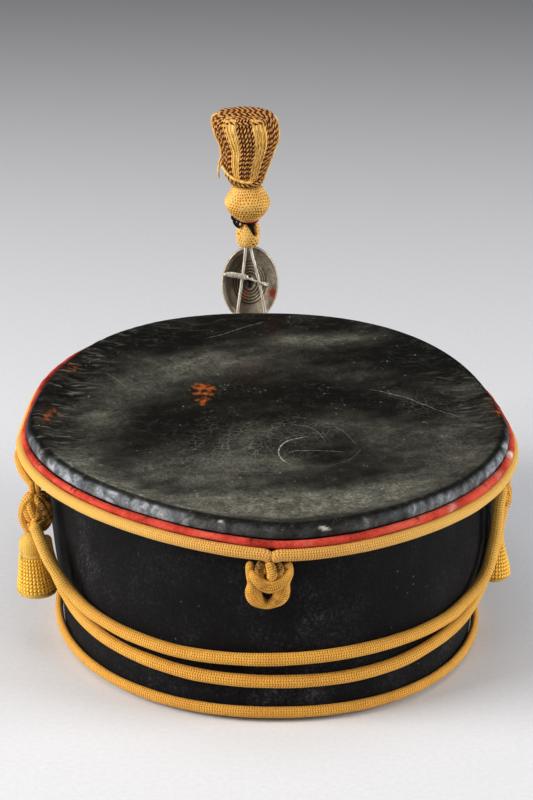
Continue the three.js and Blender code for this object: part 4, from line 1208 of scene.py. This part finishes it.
# Peak: the angle where it starts, its reach and thickness, how high it stands at its corners, how far its
# root and its tip are arched, and how far it bulges between them.
PEAK_FROM, PEAK_REACH, PEAK_THICK, PEAK_CLEARANCE = 36, 45, 2.2, 0.8
PEAK_ARCH, PEAK_TIP_ARCH, PEAK_CAMBER = 7.5, 1.6, 1.4
# The peak's tooled line: how far from the edge, how wide and how deep.
TOOLED_IN, TOOLED_WIDE, TOOLED_DEEP = 3.2, 0.5, 0.25
SOCKET_ACROSS, SOCKET_WIDTH, SOCKET_DEEP, SOCKET_TOP, SOCKET_BOTTOM = -2.35, 21.0, 4.6, 67.0, 47.0
# The slot for the wires: its rear and front face, its depth, and the leather at its two ends.
SLOT_LOW, SLOT_HIGH, SLOT_DEEP, SLOT_END = 120.5, 122.7, 9.0, 1.5


def peak():
    """The leather's ends taper into the felt; its middle reaches furthest forward."""
    steps, across = 120, 26
    share = np.linspace(0.02, 0.98, steps)
    turn = np.radians(PEAK_FROM + (180 - 2 * PEAK_FROM) * share)
    bump = np.sin(math.pi * share)
    low = PEAK_CLEARANCE + PEAK_ARCH * bump
    inner = on_wall(turn, low, 2 * GAP + 0.1)
    normal = moved_out(base_outline, turn, np.ones(steps)) - base_outline(turn)
    outward = np.stack([0.35 * normal[:, 0], 0.65 + 0.35 * normal[:, 1]], -1)
    outward /= np.linalg.norm(outward, axis=1, keepdims=True)
    outer = inner[:, :2] + outward * (PEAK_REACH * bump ** 0.8)[:, None]
    outer_height = PEAK_CLEARANCE + PEAK_TIP_ARCH * bump
    along = np.linspace(0, 1, across)
    flat = inner[:, None, :2] + (outer - inner[:, :2])[:, None] * along[None, :, None]
    height = inner[:, None, 2] + (outer_height - inner[:, 2])[:, None] * along
    height = height + PEAK_CAMBER * bump[:, None] * (4 * along * (1 - along))
    under = np.concatenate([flat, height[..., None]], -1)
    # The edge is skived round, and a tooled line runs just inside it.
    distance = (1 - along)[None] * PEAK_REACH * bump[:, None] ** 0.8
    round_off = 0.8 * np.exp(-distance / 0.5)
    tooled = TOOLED_DEEP * bell(distance, TOOLED_IN, TOOLED_WIDE)
    over = under + np.array([0, 0, PEAK_THICK])
    over[..., 2] -= round_off + tooled
    under[..., 2] += round_off * 0.6
    rings = np.concatenate([under, over[:, ::-1]], 1)
    piece("leather_peak", [shell(rings)], [PEAK_LEATHER], ["peak"])


def rounded_block(low, high, corner, count=6):
    """Upright block with rounded edges, as rings from bottom to top."""
    low, high = np.array(low, float), np.array(high, float)
    middle, half = (low + high) / 2, (high - low) / 2
    angle = np.linspace(0, 2 * math.pi, 8 * count, endpoint=False) + 0.01
    rings = []
    for rise in np.sin(np.linspace(-math.pi / 2, math.pi / 2, 2 * count)):
        pinch = corner * (1 - math.sqrt(max(0, 1 - rise * rise)))
        spread = np.stack([np.cos(angle), np.sin(angle)], -1)
        core = np.sign(spread) * (half[:2] - corner)
        xy = middle[:2] + core + spread * max(corner - pinch, 0.05)
        z = middle[2] + np.sign(rise) * (half[2] - corner) + rise * corner
        rings.append(np.concatenate([xy, np.full((len(angle), 1), z)], 1))
    return shell(rings)


def badge_socket():
    """A leather block with an open-topped slot, built of five blocks that overlap."""
    back = max(on_wall(np.array(math.pi / 2), np.array(h))[1] for h in (SOCKET_TOP, SOCKET_BOTTOM)) + GAP
    front = back + SOCKET_DEEP
    left, right = SOCKET_ACROSS - SOCKET_WIDTH / 2, SOCKET_ACROSS + SOCKET_WIDTH / 2
    slot_floor = SOCKET_TOP - SLOT_DEEP
    blocks = [
        rounded_block((left, back, SOCKET_BOTTOM), (right, front, slot_floor), 0.5),
        rounded_block((left, SLOT_HIGH, slot_floor - 1), (right, front, SOCKET_TOP), 0.3),
        rounded_block((left, back, slot_floor - 1), (right, SLOT_LOW, SOCKET_TOP), 0.3),
        rounded_block((left, back, slot_floor - 1), (left + SLOT_END, front, SOCKET_TOP), 0.4),
        rounded_block((right - SLOT_END, back, slot_floor - 1), (right, front, SOCKET_TOP), 0.4),
    ]
    piece("leather_socket", blocks, [SOCKET_LEATHER], ["badge_socket"])


# Badge

PLATE_ACROSS, PLATE_HEIGHT, PLATE_HALF_WIDE, PLATE_HALF_TALL, PLATE_PLANE = -3.2, 104.9, 13.65, 18.6, 133.4
# Beads pressed near the plate's edge: their place as a share of its radius, and half their number.
BEADS_AT, BEAD_WAVES = 0.965, 36
# Sides of the plate: share of its radius, how far forward, how dark the tarnish lies. The back is hollow.
PLATE_BACK = [
    (1.0, 0.1, 0), (0.965, -0.35, 0.1), (0.93, 0.1, 0.7), (0.9, 0.2, 0.3), (0.76, 0.9, 0.15),
    (0.6, 1.9, 0.3), (0.56, 2.1, 0.8), (0.53, 1.6, 0.1), (0.49, 2.2, 0.8), (0.45, 1.7, 0.1),
    (0.41, 2.3, 0.85), (0.37, 1.8, 0.1), (0.33, 2.5, 0.85), (0.29, 2.0, 0.1), (0.25, 2.6, 0.9),
    (0.2, 2.3, 0.2), (0.12, 3.0, 0.7), (0.05, 3.6, 1.0),
]
PLATE_FRONT = [(1.0, 0.9, 0), (0.8, 1.6, 0), (0.6, 3.1, 0), (0.42, 3.3, 0), (0.1, 4.1, 0)]


def badge_plate():
    turn = all_round(144)
    back = smooth_line(PLATE_BACK[::-1], between=4)
    profile = np.vstack([back, smooth_line(PLATE_FRONT, between=5)])
    share, forward, dark = profile[:, :1], profile[:, 1:2], np.clip(profile[:, 2:3], 0, 1)
    beads = 0.35 * np.abs(np.cos(BEAD_WAVES * turn)) * bell(share, BEADS_AT, 0.02) * (forward < 0.5)
    dents = 0.12 * unevenness(np.stack([share * np.cos(turn), share * np.sin(turn)], -1) * 14, 8, 61)
    rings = np.stack([
        PLATE_ACROSS + share * PLATE_HALF_WIDE * np.cos(turn),
        PLATE_PLANE + (forward - beads) + dents,
        PLATE_HEIGHT + share * PLATE_HALF_TALL * np.sin(turn),
    ], -1)
    x, z = rings[..., 0] - PLATE_ACROSS, rings[..., 2] - PLATE_HEIGHT
    hollow = (np.arange(len(profile)) < len(back))[:, None]

    # The left half of the hollow is painted darker than the right, and its middle is pitted black.
    inside = ramp(0.9 - np.hypot(x / PLATE_HALF_WIDE, z / PLATE_HALF_TALL), 0, 0.06)
    left_darkening = 0.75 * ramp(4 - x, 0, 7) * inside
    pitted = ramp(3.4 - np.hypot(x + 0.6, (z - 0.4) * 1.1) + 0.5 * unevenness(rings, 2.5, 65), 0, 0.6)
    dark = np.broadcast_to(dark, x.shape) * (0.75 + 0.3 * unevenness(rings, 5, 62)) + left_darkening * hollow
    dark = np.clip(dark, 0, 1) + pitted * hollow
    rust = np.exp(-(((x - 11.0) / 1.3) ** 2 + ((z + 4.6) / 1.8) ** 2)) * 1.4
    rust += 0.3 * np.exp(-(((x - 9.6) / 2.8) ** 2 + ((z + 4.8) / 3.6) ** 2))
    rust += 0.7 * np.exp(-(((x + 2.0) / 1.2) ** 2 + ((z + 5.2) / 1.8) ** 2))
    rust = np.clip(rust + 0.2 * unevenness(rings, 1.5, 63) * (rust > 0.15), 0, 1) * hollow
    plate = shell(rings, marks={"tarnish": dark, "rust": rust})
    piece("badge_plate", [plate, *badge_strap()], [PEWTER, TIN], ["cockade"])


def badge_strap():
    """The strap that holds the plate: a pointed leaf of metal with its wire, fork, post and foot."""
    leaf = smooth_line([(-16.0, 110.2), (-13.4, 110.4), (-10, 109.9), (-7, 109.3), (-4.2, 108.6)])
    leaf = np.stack([leaf[:, 0], np.full(len(leaf), 130.6), leaf[:, 1]], -1)

    def leaf_radius(share):
        return 0.35 + 1.05 * math.sin(math.pi * min(share * 1.3, 0.6)) ** 0.8

    shells = [cord(leaf, leaf_radius, smooth_strand, sides=14, reference=UP, thick=0.45, finish=1)]
    wire = [
        (-4.9, 130.9, 108.5), (-2.2, 130.7, 107.6), (1.2, 130.9, 106.3), (4.3, 131.6, 104.8),
        (5.4, 133.2, 104.3),
    ]
    fork = [(-1.0, 130.6, 107.0), (1.8, 130.7, 106.6), (4.6, 131.8, 105.6), (5.6, 133.0, 105.2)]
    post = [(-2.4, 130.8, 108.0), (-2.5, 133.5, 107.6), (-2.6, 135.6, 107.2)]
    foot = [(-15.1, 130.8, 110.0), (-15.3, 132.2, 109.9), (-15.4, 133.7, 109.7)]
    for knots, radius in ((wire, 0.5), (fork, 0.3)):
        shells.append(cord(smooth_line(knots), radius, smooth_strand, sides=8, finish=1))
    for knots, radius in ((post, 0.8), (foot, 0.6)):
        shells.append(cord(smooth_line(knots), radius, smooth_strand, sides=10))
    return shells


WIRE_RADIUS, WIRE_FOOT = 0.7, 121.6


def badge_wires():
    """One wire bent into two legs: they stand in the socket and step forward to the plume's plane."""
    plane, foot = PLUME_FORWARD, WIRE_FOOT
    left = [
        (-9.9, foot, 60), (-9.8, foot + 1, 64.5), (-9.6, foot + 5, 69.2), (-9.4, plane, 75.5),
        (-9.0, plane, 91.5), (-6.9, plane, 109), (-5.6, plane, 122.8), (-5.5, plane, 126.5),
    ]
    right = [
        (-3.4, plane, 126.5), (-3.1, plane, 122.8), (0.4, plane, 109), (4.0, plane, 91.5),
        (4.6, plane, 75.5), (4.9, foot + 5, 69.2), (5.1, foot + 1, 64.5), (5.2, foot, 60),
    ]
    route = smooth_line([*left, (-4.5, plane, 127.9), *right])
    body = cord(route, WIRE_RADIUS, smooth_strand, step=0.7, sides=12, seed=64)
    piece("tinned_wires", [body], [TIN], ["badge_wires"])


# Plume

BEAD_ACROSS, BEAD_HEIGHT, BEAD_RADIUS, BEAD_HALF_TALL = -4.5, 129.9, 5.5, 5.8
BULB_HEIGHT, BULB_RADIUS, BULB_HALF_TALL = 144.9, 10.8, 8.5
# Height of a row of the net, and how far a tear falls in, as a share of the radius.
NET_ROW, TORN_DEPTH = 1.45, 0.35


def net_height(along, around):
    """Close net with a small hole between each four knots, each row shifted by half a knot."""
    row = np.floor(along)
    beside = (around + 0.5 * (row % 2)) % 1 - 0.5
    above = along - row - 0.5
    knit = 0.12 * np.abs(np.sin(2 * math.pi * (along + 0.5 * around)))
    return 1 - knit - 0.85 * np.exp(-((beside / 0.2) ** 2 + (above / 0.26) ** 2))


def netted(rows, columns, depth, torn=None, open_rows=()):
    """Netted piece: its cover has holes between the knots, larger at open_rows (height, spread)."""
    line, at, _ = even_steps(smooth_line(rows, between=12), 0.24)
    height, radius, across = (line[:, k:k + 1] for k in range(3))
    sides = 6 * columns
    share = np.arange(sides) / sides
    turn = 2 * math.pi * share
    circle = np.stack([10 * np.cos(turn), 10 * np.sin(turn)], -1)
    level = np.broadcast_to(height, (len(line), sides))
    place = np.concatenate([np.broadcast_to(circle, (len(line), sides, 2)), level[..., None]], -1)
    opening = 0.75 + 0.35 * unevenness(place, 5, 78)
    opening = opening + sum(0.9 * bell(height, z, wide) for z, wide in open_rows)
    along = at[:, None] / NET_ROW + 0.22 * unevenness(place, 4, 79)
    around = share[None] * columns + 0.3 * unevenness(place, 4, 80)
    knot = 1 - (1 - net_height(along, around)) * np.clip(opening, 0.25, 1.6)
    r = radius * (1 + 0.006 * unevenness(circle, 5, 74)[None]) - depth * (1 - knot)
    rings = np.stack([across + r * np.cos(turn), PLUME_FORWARD + r * np.sin(turn), level], -1)
    hole = torn(rings) if torn else np.zeros(r.shape)
    middle = np.concatenate([across, np.full_like(across, PLUME_FORWARD), height], -1)[:, None]
    rings += (middle - rings) * (TORN_DEPTH * hole)[..., None]
    return shell(rings, marks={"knot": knot, "torn": hole})


# Outlines: share of the half height, share of the radius.
BEAD_PROFILE = (
    (-1, 0.5), (-0.97, 0.72), (-0.8, 0.9), (-0.45, 0.99), (0.1, 1.02), (0.6, 0.98), (0.9, 0.84), (1.0, 0.6),
)
BULB_PROFILE = (
    (-1, 0.34), (-0.95, 0.5), (-0.71, 0.67), (-0.51, 0.81), (-0.23, 0.935), (0.08, 1.0), (0.3, 0.96),
    (0.48, 0.88), (0.7, 0.77), (0.93, 0.67), (1, 0.52),
)
# Black threads that hang out at the left between the bead and the bulb: across, forward, height.
BLACK_THREADS = (
    ((-9.8, -2.6, 139.2), (-11.2, -3.6, 136.6), (-9.4, -3.8, 133.8)),
    ((-8.4, -3.4, 138.6), (-9.6, -4.6, 136.0), (-8.6, -4.4, 133.6)),
    ((-11.2, -2.0, 139.8), (-12.0, -2.6, 138.6), (-10.4, -3.2, 136.2)),
)


def bead():
    rows = [(BEAD_HEIGHT + BEAD_HALF_TALL * h, BEAD_RADIUS * w, BEAD_ACROSS) for h, w in BEAD_PROFILE]

    def torn(rings):
        """A slanted tear at the upper right behind, narrowing downwards, and a nick at the left corner."""
        x, y, z = rings[..., 0] - BEAD_ACROSS, rings[..., 1] - PLUME_FORWARD, rings[..., 2] - BEAD_HEIGHT
        x = x + 0.25 * unevenness(rings, 2.0, 71)
        down = 5.8 - z
        tear = np.minimum(np.minimum(x + 1.9 - 0.9 * down, 3.4 + 0.12 * down - x), (z + 0.2) * 0.8)
        nick = 1.5 - np.hypot(x + 4.6, z - 5.2)
        return np.maximum(ramp(tear, -0.2, 0.2) * (y < 0), ramp(nick, -0.3, 0.3))

    shells = [netted(rows, 20, 0.45, torn)]
    for n, spots in enumerate(BLACK_THREADS):
        line = smooth_line([(x, PLUME_FORWARD + y, z) for x, y, z in spots])
        shells.append(cord(line, lambda share: 1.2 - 0.8 * share, two_ply(2.4, 0.1), step=0.4, sides=10,
                           seed=75 + n, finish=1))
    piece("netted_bead", shells, [NET, WOOL_CORE], ["plume_bead"])


def bulb():
    """The netted bulb, with a dark neck and two red threads where it meets the bead."""
    rows = [(BULB_HEIGHT + BULB_HALF_TALL * h, BULB_RADIUS * w, PLUME_ACROSS) for h, w in BULB_PROFILE]
    shells = [netted(rows, 40, 0.5, open_rows=((142.2, 0.9), (140.4, 0.7)))]
    neck = [(135.2, 3.6, -4.6), (136.0, 4.2, -4.6), (136.8, 3.8, -4.8)]
    shells.append(turned(neck, PLUME_FORWARD, 24, 0.3, finish=1))
    red = ((-7.2, -4.4, 136.8), (-4.0, -5.4, 137.0), (-1.6, -4.9, 137.2), (0.2, -3.6, 137.1))
    for rise, seed in ((0, 76), (0.6, 77)):
        line = smooth_line([(x, PLUME_FORWARD + y, z + rise) for x, y, z in red])
        shells.append(cord(line, 0.36, two_ply(3.0, 0.1), sides=8, finish=2, seed=seed))
    piece("netted_bulb", shells, [NET, WOOL_CORE, RED], ["plume_bulb"])


BRUSH_BOTTOM, BRUSH_TOP, BRUSH_ACROSS = 154.0, 189.4, -5.2
BRUSH_TALL = BRUSH_TOP - BRUSH_BOTTOM
# Shares of the height at which the plume's cords are placed.
BRUSH_SHARES = (0.0, 0.1, 0.21, 0.33, 0.475, 0.6, 0.7, 0.82)
# Outside of the plume: share of its height, radius, how far it leans across.
BRUSH_PROFILE = [
    (0, 7.5, -0.6), (0.1, 9, -1), (0.21, 10.3, -1), (0.33, 11.4, -0.7), (0.475, 12.6, 0.2),
    (0.6, 14.2, 0), (0.7, 15, -0.5), (0.8, 15.4, -1.4), (0.9, 14.8, -1.8), (0.96, 12.5, -1.6),
    (1, 9, -1.2),
]
LAID_RADIUS, STRAND_RADIUS = 0.78, 0.46
# Bands of plain strands, in degrees from straight behind: from where to where at the foot, and near the top.
PLAIN_SECTORS = [
    ((-35.5, -16), (-44, -19)), ((13, 40.5), (12, 38)), ((137, 163), (136, 161)),
    ((200, 226), (199, 224)),
]
# The laid cords between the bands behind and in front, and the loops that rise on the flanks.
MIDDLE_SECTORS = [(-18, 13), (163, 199)]
FLANK_HALF, FLANK_LOOPS = 49, 17
# How far forward and back the outermost loops cross the top.
CREST_HALF = 14.0


def brush_spot(share, behind, inset):
    """Point under the plume's skin at a share of its height, behind being degrees from straight behind."""
    rows = np.array(BRUSH_PROFILE)
    radius = np.interp(share, rows[:, 0], rows[:, 1]) - inset
    lean = np.interp(share, rows[:, 0], rows[:, 2])
    turn = math.radians(behind - 90)
    return (BRUSH_ACROSS + lean + radius * math.cos(turn), PLUME_FORWARD + radius * math.sin(turn),
            BRUSH_BOTTOM + BRUSH_TALL * share)


def dome_height(x, y):
    """Height of the plume's rounded top over a point, from the profile's upper rows."""
    r = np.hypot(x, y)
    share = np.interp(r, [0, 9, 12.5, 14.8, 15.4], [0.985, 1.0, 0.96, 0.9, 0.8])
    return BRUSH_BOTTOM + BRUSH_TALL * share


def full_above(thick):
    """A laid cord's radius: it is squeezed thinner at the foot, where the plume narrows."""
    return lambda share: thick * min(1.0, 0.62 + 0.6 * min(share, 1 - share) * 2)


def strand_radius(share):
    return STRAND_RADIUS * (0.5 + 0.5 * min(1, 1.3 * share))


def plume_loops(draw):
    """Loops that rise on one flank, cross over the top and come down on the other."""
    loops = []
    for n, flank in enumerate(np.linspace(-FLANK_HALF, FLANK_HALF, FLANK_LOOPS)):
        inset = LAID_RADIUS + draw.uniform(0, 0.35)
        right = [brush_spot(s, 90 + flank, inset) for s in BRUSH_SHARES]
        left = [brush_spot(s, 270 - flank, inset) for s in BRUSH_SHARES]
        half, middle = abs(right[-1][0] - left[-1][0]) / 2, (right[-1][0] + left[-1][0]) / 2
        edge = right[-1][1] - PLUME_FORWARD
        crest = CREST_HALF * flank / FLANK_HALF + draw.uniform(-0.35, 0.35)
        over = []
        for x in np.linspace(0.86, -0.86, 7):
            y = edge + (crest - edge) * (1 - x * x)
            z = dome_height(x * half, y) - inset + draw.uniform(-0.35, 0.15)
            over.append((middle + x * half, PLUME_FORWARD + y, z))
        knots = smooth_line([*right, *over, *left[::-1]], between=8)
        loops.append(cord(knots, full_above(LAID_RADIUS), two_ply(5.2, 0.2), step=0.47, sides=12, seed=n,
                          finish=(0, 1, 1, 0, 1)[n % 5]))
    return loops


def middle_cords():
    """Cords that rise between the plain bands and bend in under the loops."""
    cords = []
    for low, high in MIDDLE_SECTORS:
        for n, behind in enumerate(np.linspace(low + 3, high - 3, 5)):
            knots = [brush_spot(s, behind, LAID_RADIUS + 0.15 * (n % 2)) for s in (*BRUSH_SHARES, 0.92)]
            knots.append(brush_spot(0.95, behind, 4.5))
            cords.append(cord(smooth_line(knots, between=8), full_above(LAID_RADIUS), two_ply(4.6, 0.2),
                              step=0.42, sides=12, seed=n + 20, finish=n % 2))
    return cords


def plain_bands(draw):
    """Bands of plain strands side by side, which bend in under the loops as well."""
    strands = []
    for at_foot, at_top in PLAIN_SECTORS:
        for n, across in enumerate(np.linspace(0.03, 0.97, 8)):
            inset = STRAND_RADIUS + 0.25 * (n % 2) + draw.uniform(0, 0.15)
            knots = []
            for s in (*BRUSH_SHARES, 0.92):
                low, high = (np.interp(s, [0, 0.8], pair) for pair in zip(at_foot, at_top))
                knots.append(brush_spot(s, low + (high - low) * across, inset))
            knots.append(brush_spot(0.955, low + (high - low) * across, 4.0))
            strand = smooth_line(knots, between=8)
            strands.append(cord(strand, strand_radius, smooth_strand, step=0.9, sides=8, seed=n + 40))
    return strands


# Loose cords of the plume, as a share of its height and degrees from straight behind: a plain one wound round
# its neck from the left, and a laid one wound round its foot.
WOUND = (
    (0.33, 268), (0.26, 284), (0.19, 303), (0.13, 322), (0.1, 340), (0.08, 358), (0.08, 380),
)
FOOT = ((0.16, 292), (0.1, 312), (0.045, 335), (0.03, 360), (0.05, 385), (0.09, 410))
# Plain cords that lie outermost on the two flanks and draw the plume's edge.
RIGHT_EDGE = ((0.02, 84), (0.2, 86), (0.4, 88), (0.6, 88), (0.75, 87), (0.85, 86), (0.91, 84))
LEFT_EDGE = ((0.35, 268), (0.5, 270), (0.62, 272), (0.74, 272), (0.84, 270), (0.91, 268))
# A plain end that hangs free at the left: across, forward of the plume's plane, height.
HANGING = ((-17.2, -3, 168.5), (-18.4, -3.2, 165.5), (-18.9, -3.3, 161.0), (-18.6, -3.2, 157.4))


def brush():
    draw = np.random.default_rng(81)
    laid = plume_loops(draw) + middle_cords()
    plain = plain_bands(draw)
    wound = smooth_line([brush_spot(share, behind, -0.45) for share, behind in WOUND])
    plain.append(cord(wound, 0.75, smooth_strand, sides=8, seed=71))
    foot = smooth_line([brush_spot(share, behind, -0.35) for share, behind in FOOT])
    laid.append(cord(foot, 0.8, two_ply(4.4, 0.2), sides=10, seed=72))
    for places, thick, seed in ((RIGHT_EDGE, 0.6, 74), (LEFT_EDGE, 0.7, 78)):
        outer = [brush_spot(share, behind, 0.1) for share, behind in places]
        outer.append(brush_spot(0.95, places[-1][1], 3.0))
        plain.append(cord(smooth_line(outer), thick, smooth_strand, sides=8, seed=seed))
    hanging = smooth_line([(x, PLUME_FORWARD + y, z) for x, y, z in HANGING])
    plain.append(cord(hanging, 0.45, smooth_strand, sides=8, seed=73))
    piece("plume_laid_cords", laid, [LAID, LAID_PALE], ["plume_brush"])
    piece("plume_plain_strands", plain, [STRAND])
    inside = [(-0.02, 6.5, -0.6), *BRUSH_PROFILE[:-3], (0.9, 11, -1.4)]
    core = [(BRUSH_BOTTOM + BRUSH_TALL * s, max(r - 2.2, 1), BRUSH_ACROSS + lean) for s, r, lean in inside]
    piece("plume_core", [turned(core, PLUME_FORWARD, 40, 1.2)], [WOOL_CORE])


crown_wall()
crown_lid()
piping()
rim_cord()
base_cord()
festoon("upper_festoon_braid", FESTOON_UPPER, "festoon_upper", 33)
festoon("lower_festoon_braid", FESTOON_LOWER, "festoon_lower", 34)
rear_loop()
for side in ("left", "right"):
    side_knot(side)
    tassel(side)
peak()
badge_socket()
badge_plate()
badge_wires()
bead()
bulb()
brush()


# Floor, light and camera

# In metres: half the floor's width, how far it lies under the hat, and the place the lights are turned to.
FLOOR_HALF, FLOOR_GAP = 4.0, 0.0001
LIT = (0, 0, 0.08)


def studio_floor():
    made, tree, shader, place = finish("pale_paper")
    tooth = add(tree, "TexNoise", {"Vector": place, "Scale": per_mm(2.0), "Detail": 3.0})
    paper = add(tree, "ValToRGB", {0: tooth}, stops=[(0.3, "#DFE3EB"), (0.7, "#E6E9F0")])
    fill(tree, shader, {"Base Color": paper, "Roughness": 0.9})
    mesh = bpy.data.meshes.new("floor")
    corners = [(x * FLOOR_HALF, y * FLOOR_HALF, 0) for x, y in ((-1, -1), (1, -1), (1, 1), (-1, 1))]
    mesh.from_pydata(corners, [], [(0, 1, 2, 3)])
    mesh.materials.append(made)
    floor = bpy.data.objects.new("floor", mesh)
    floor.location.z = -FLOOR_GAP
    bpy.context.scene.collection.objects.link(floor)


def soft_light(name, place, size, power, code):
    lamp = bpy.data.lights.new(name, "AREA")
    lamp.shape = "SQUARE"
    lamp.size, lamp.energy, lamp.color = size, power, colour(code)[:3]
    made = bpy.data.objects.new(name, lamp)
    made.location = place
    made.rotation_euler = (Vector(LIT) - Vector(place)).to_track_quat("-Z", "Y").to_euler()
    bpy.context.scene.collection.objects.link(made)


def studio():
    world = bpy.data.worlds.new("studio")
    world.use_nodes = True
    world.node_tree.nodes["Background"].inputs["Color"].default_value = colour("#DCDDE2")
    world.node_tree.nodes["Background"].inputs["Strength"].default_value = 0.1
    bpy.context.scene.world = world
    soft_light("key_light", (-1.4, -0.5, 0.9), 0.8, 26, "#FFF8EE")
    soft_light("side_light", (1.4, -0.35, 0.5), 0.8, 20.5, "#FFFAF2")
    soft_light("left_light", (-1.45, -0.2, 0.4), 0.8, 10.5, "#FFFAF2")
    soft_light("top_light", (0, -0.1, 1.6), 1.2, 7, "#FBFBFF")
    bpy.context.scene.view_settings.view_transform = "Standard"


# The photograph's camera: distance to the place it aims at, then rise, turn and roll in degrees, and its
# focal length in the photograph's pixels.
CAMERA_DISTANCE, CAMERA_RISE, CAMERA_TURN, CAMERA_ROLL = 800.0, 19.5, -3.01, 0.96
CAMERA_AIM = (-1.36, 0.0, 93.1)
CAMERA_REACH_PX, PHOTO_TALL_PX = 1921.5, 800
SENSOR = 36.0


def camera():
    rise, turn, roll = (math.radians(a) for a in (CAMERA_RISE, CAMERA_TURN, CAMERA_ROLL))
    back = Vector((math.sin(turn) * math.cos(rise), -math.cos(turn) * math.cos(rise), math.sin(rise)))
    right = Vector((math.cos(turn), math.sin(turn), 0))
    above = back.cross(right)
    lens = bpy.data.cameras.new("camera")
    lens.sensor_fit, lens.sensor_width = "AUTO", SENSOR
    lens.lens = SENSOR * CAMERA_REACH_PX / PHOTO_TALL_PX
    made = bpy.data.objects.new("camera", lens)
    x = right * math.cos(roll) + above * math.sin(roll)
    y = above * math.cos(roll) - right * math.sin(roll)
    eye = Vector(in_frame(CAMERA_AIM).tolist()) + back * CAMERA_DISTANCE / 1000
    made.matrix_world = Matrix.Translation(eye) @ Matrix((x, y, back)).transposed().to_4x4()
    bpy.context.scene.collection.objects.link(made)
    bpy.context.scene.camera = made


studio_floor()
studio()
camera()
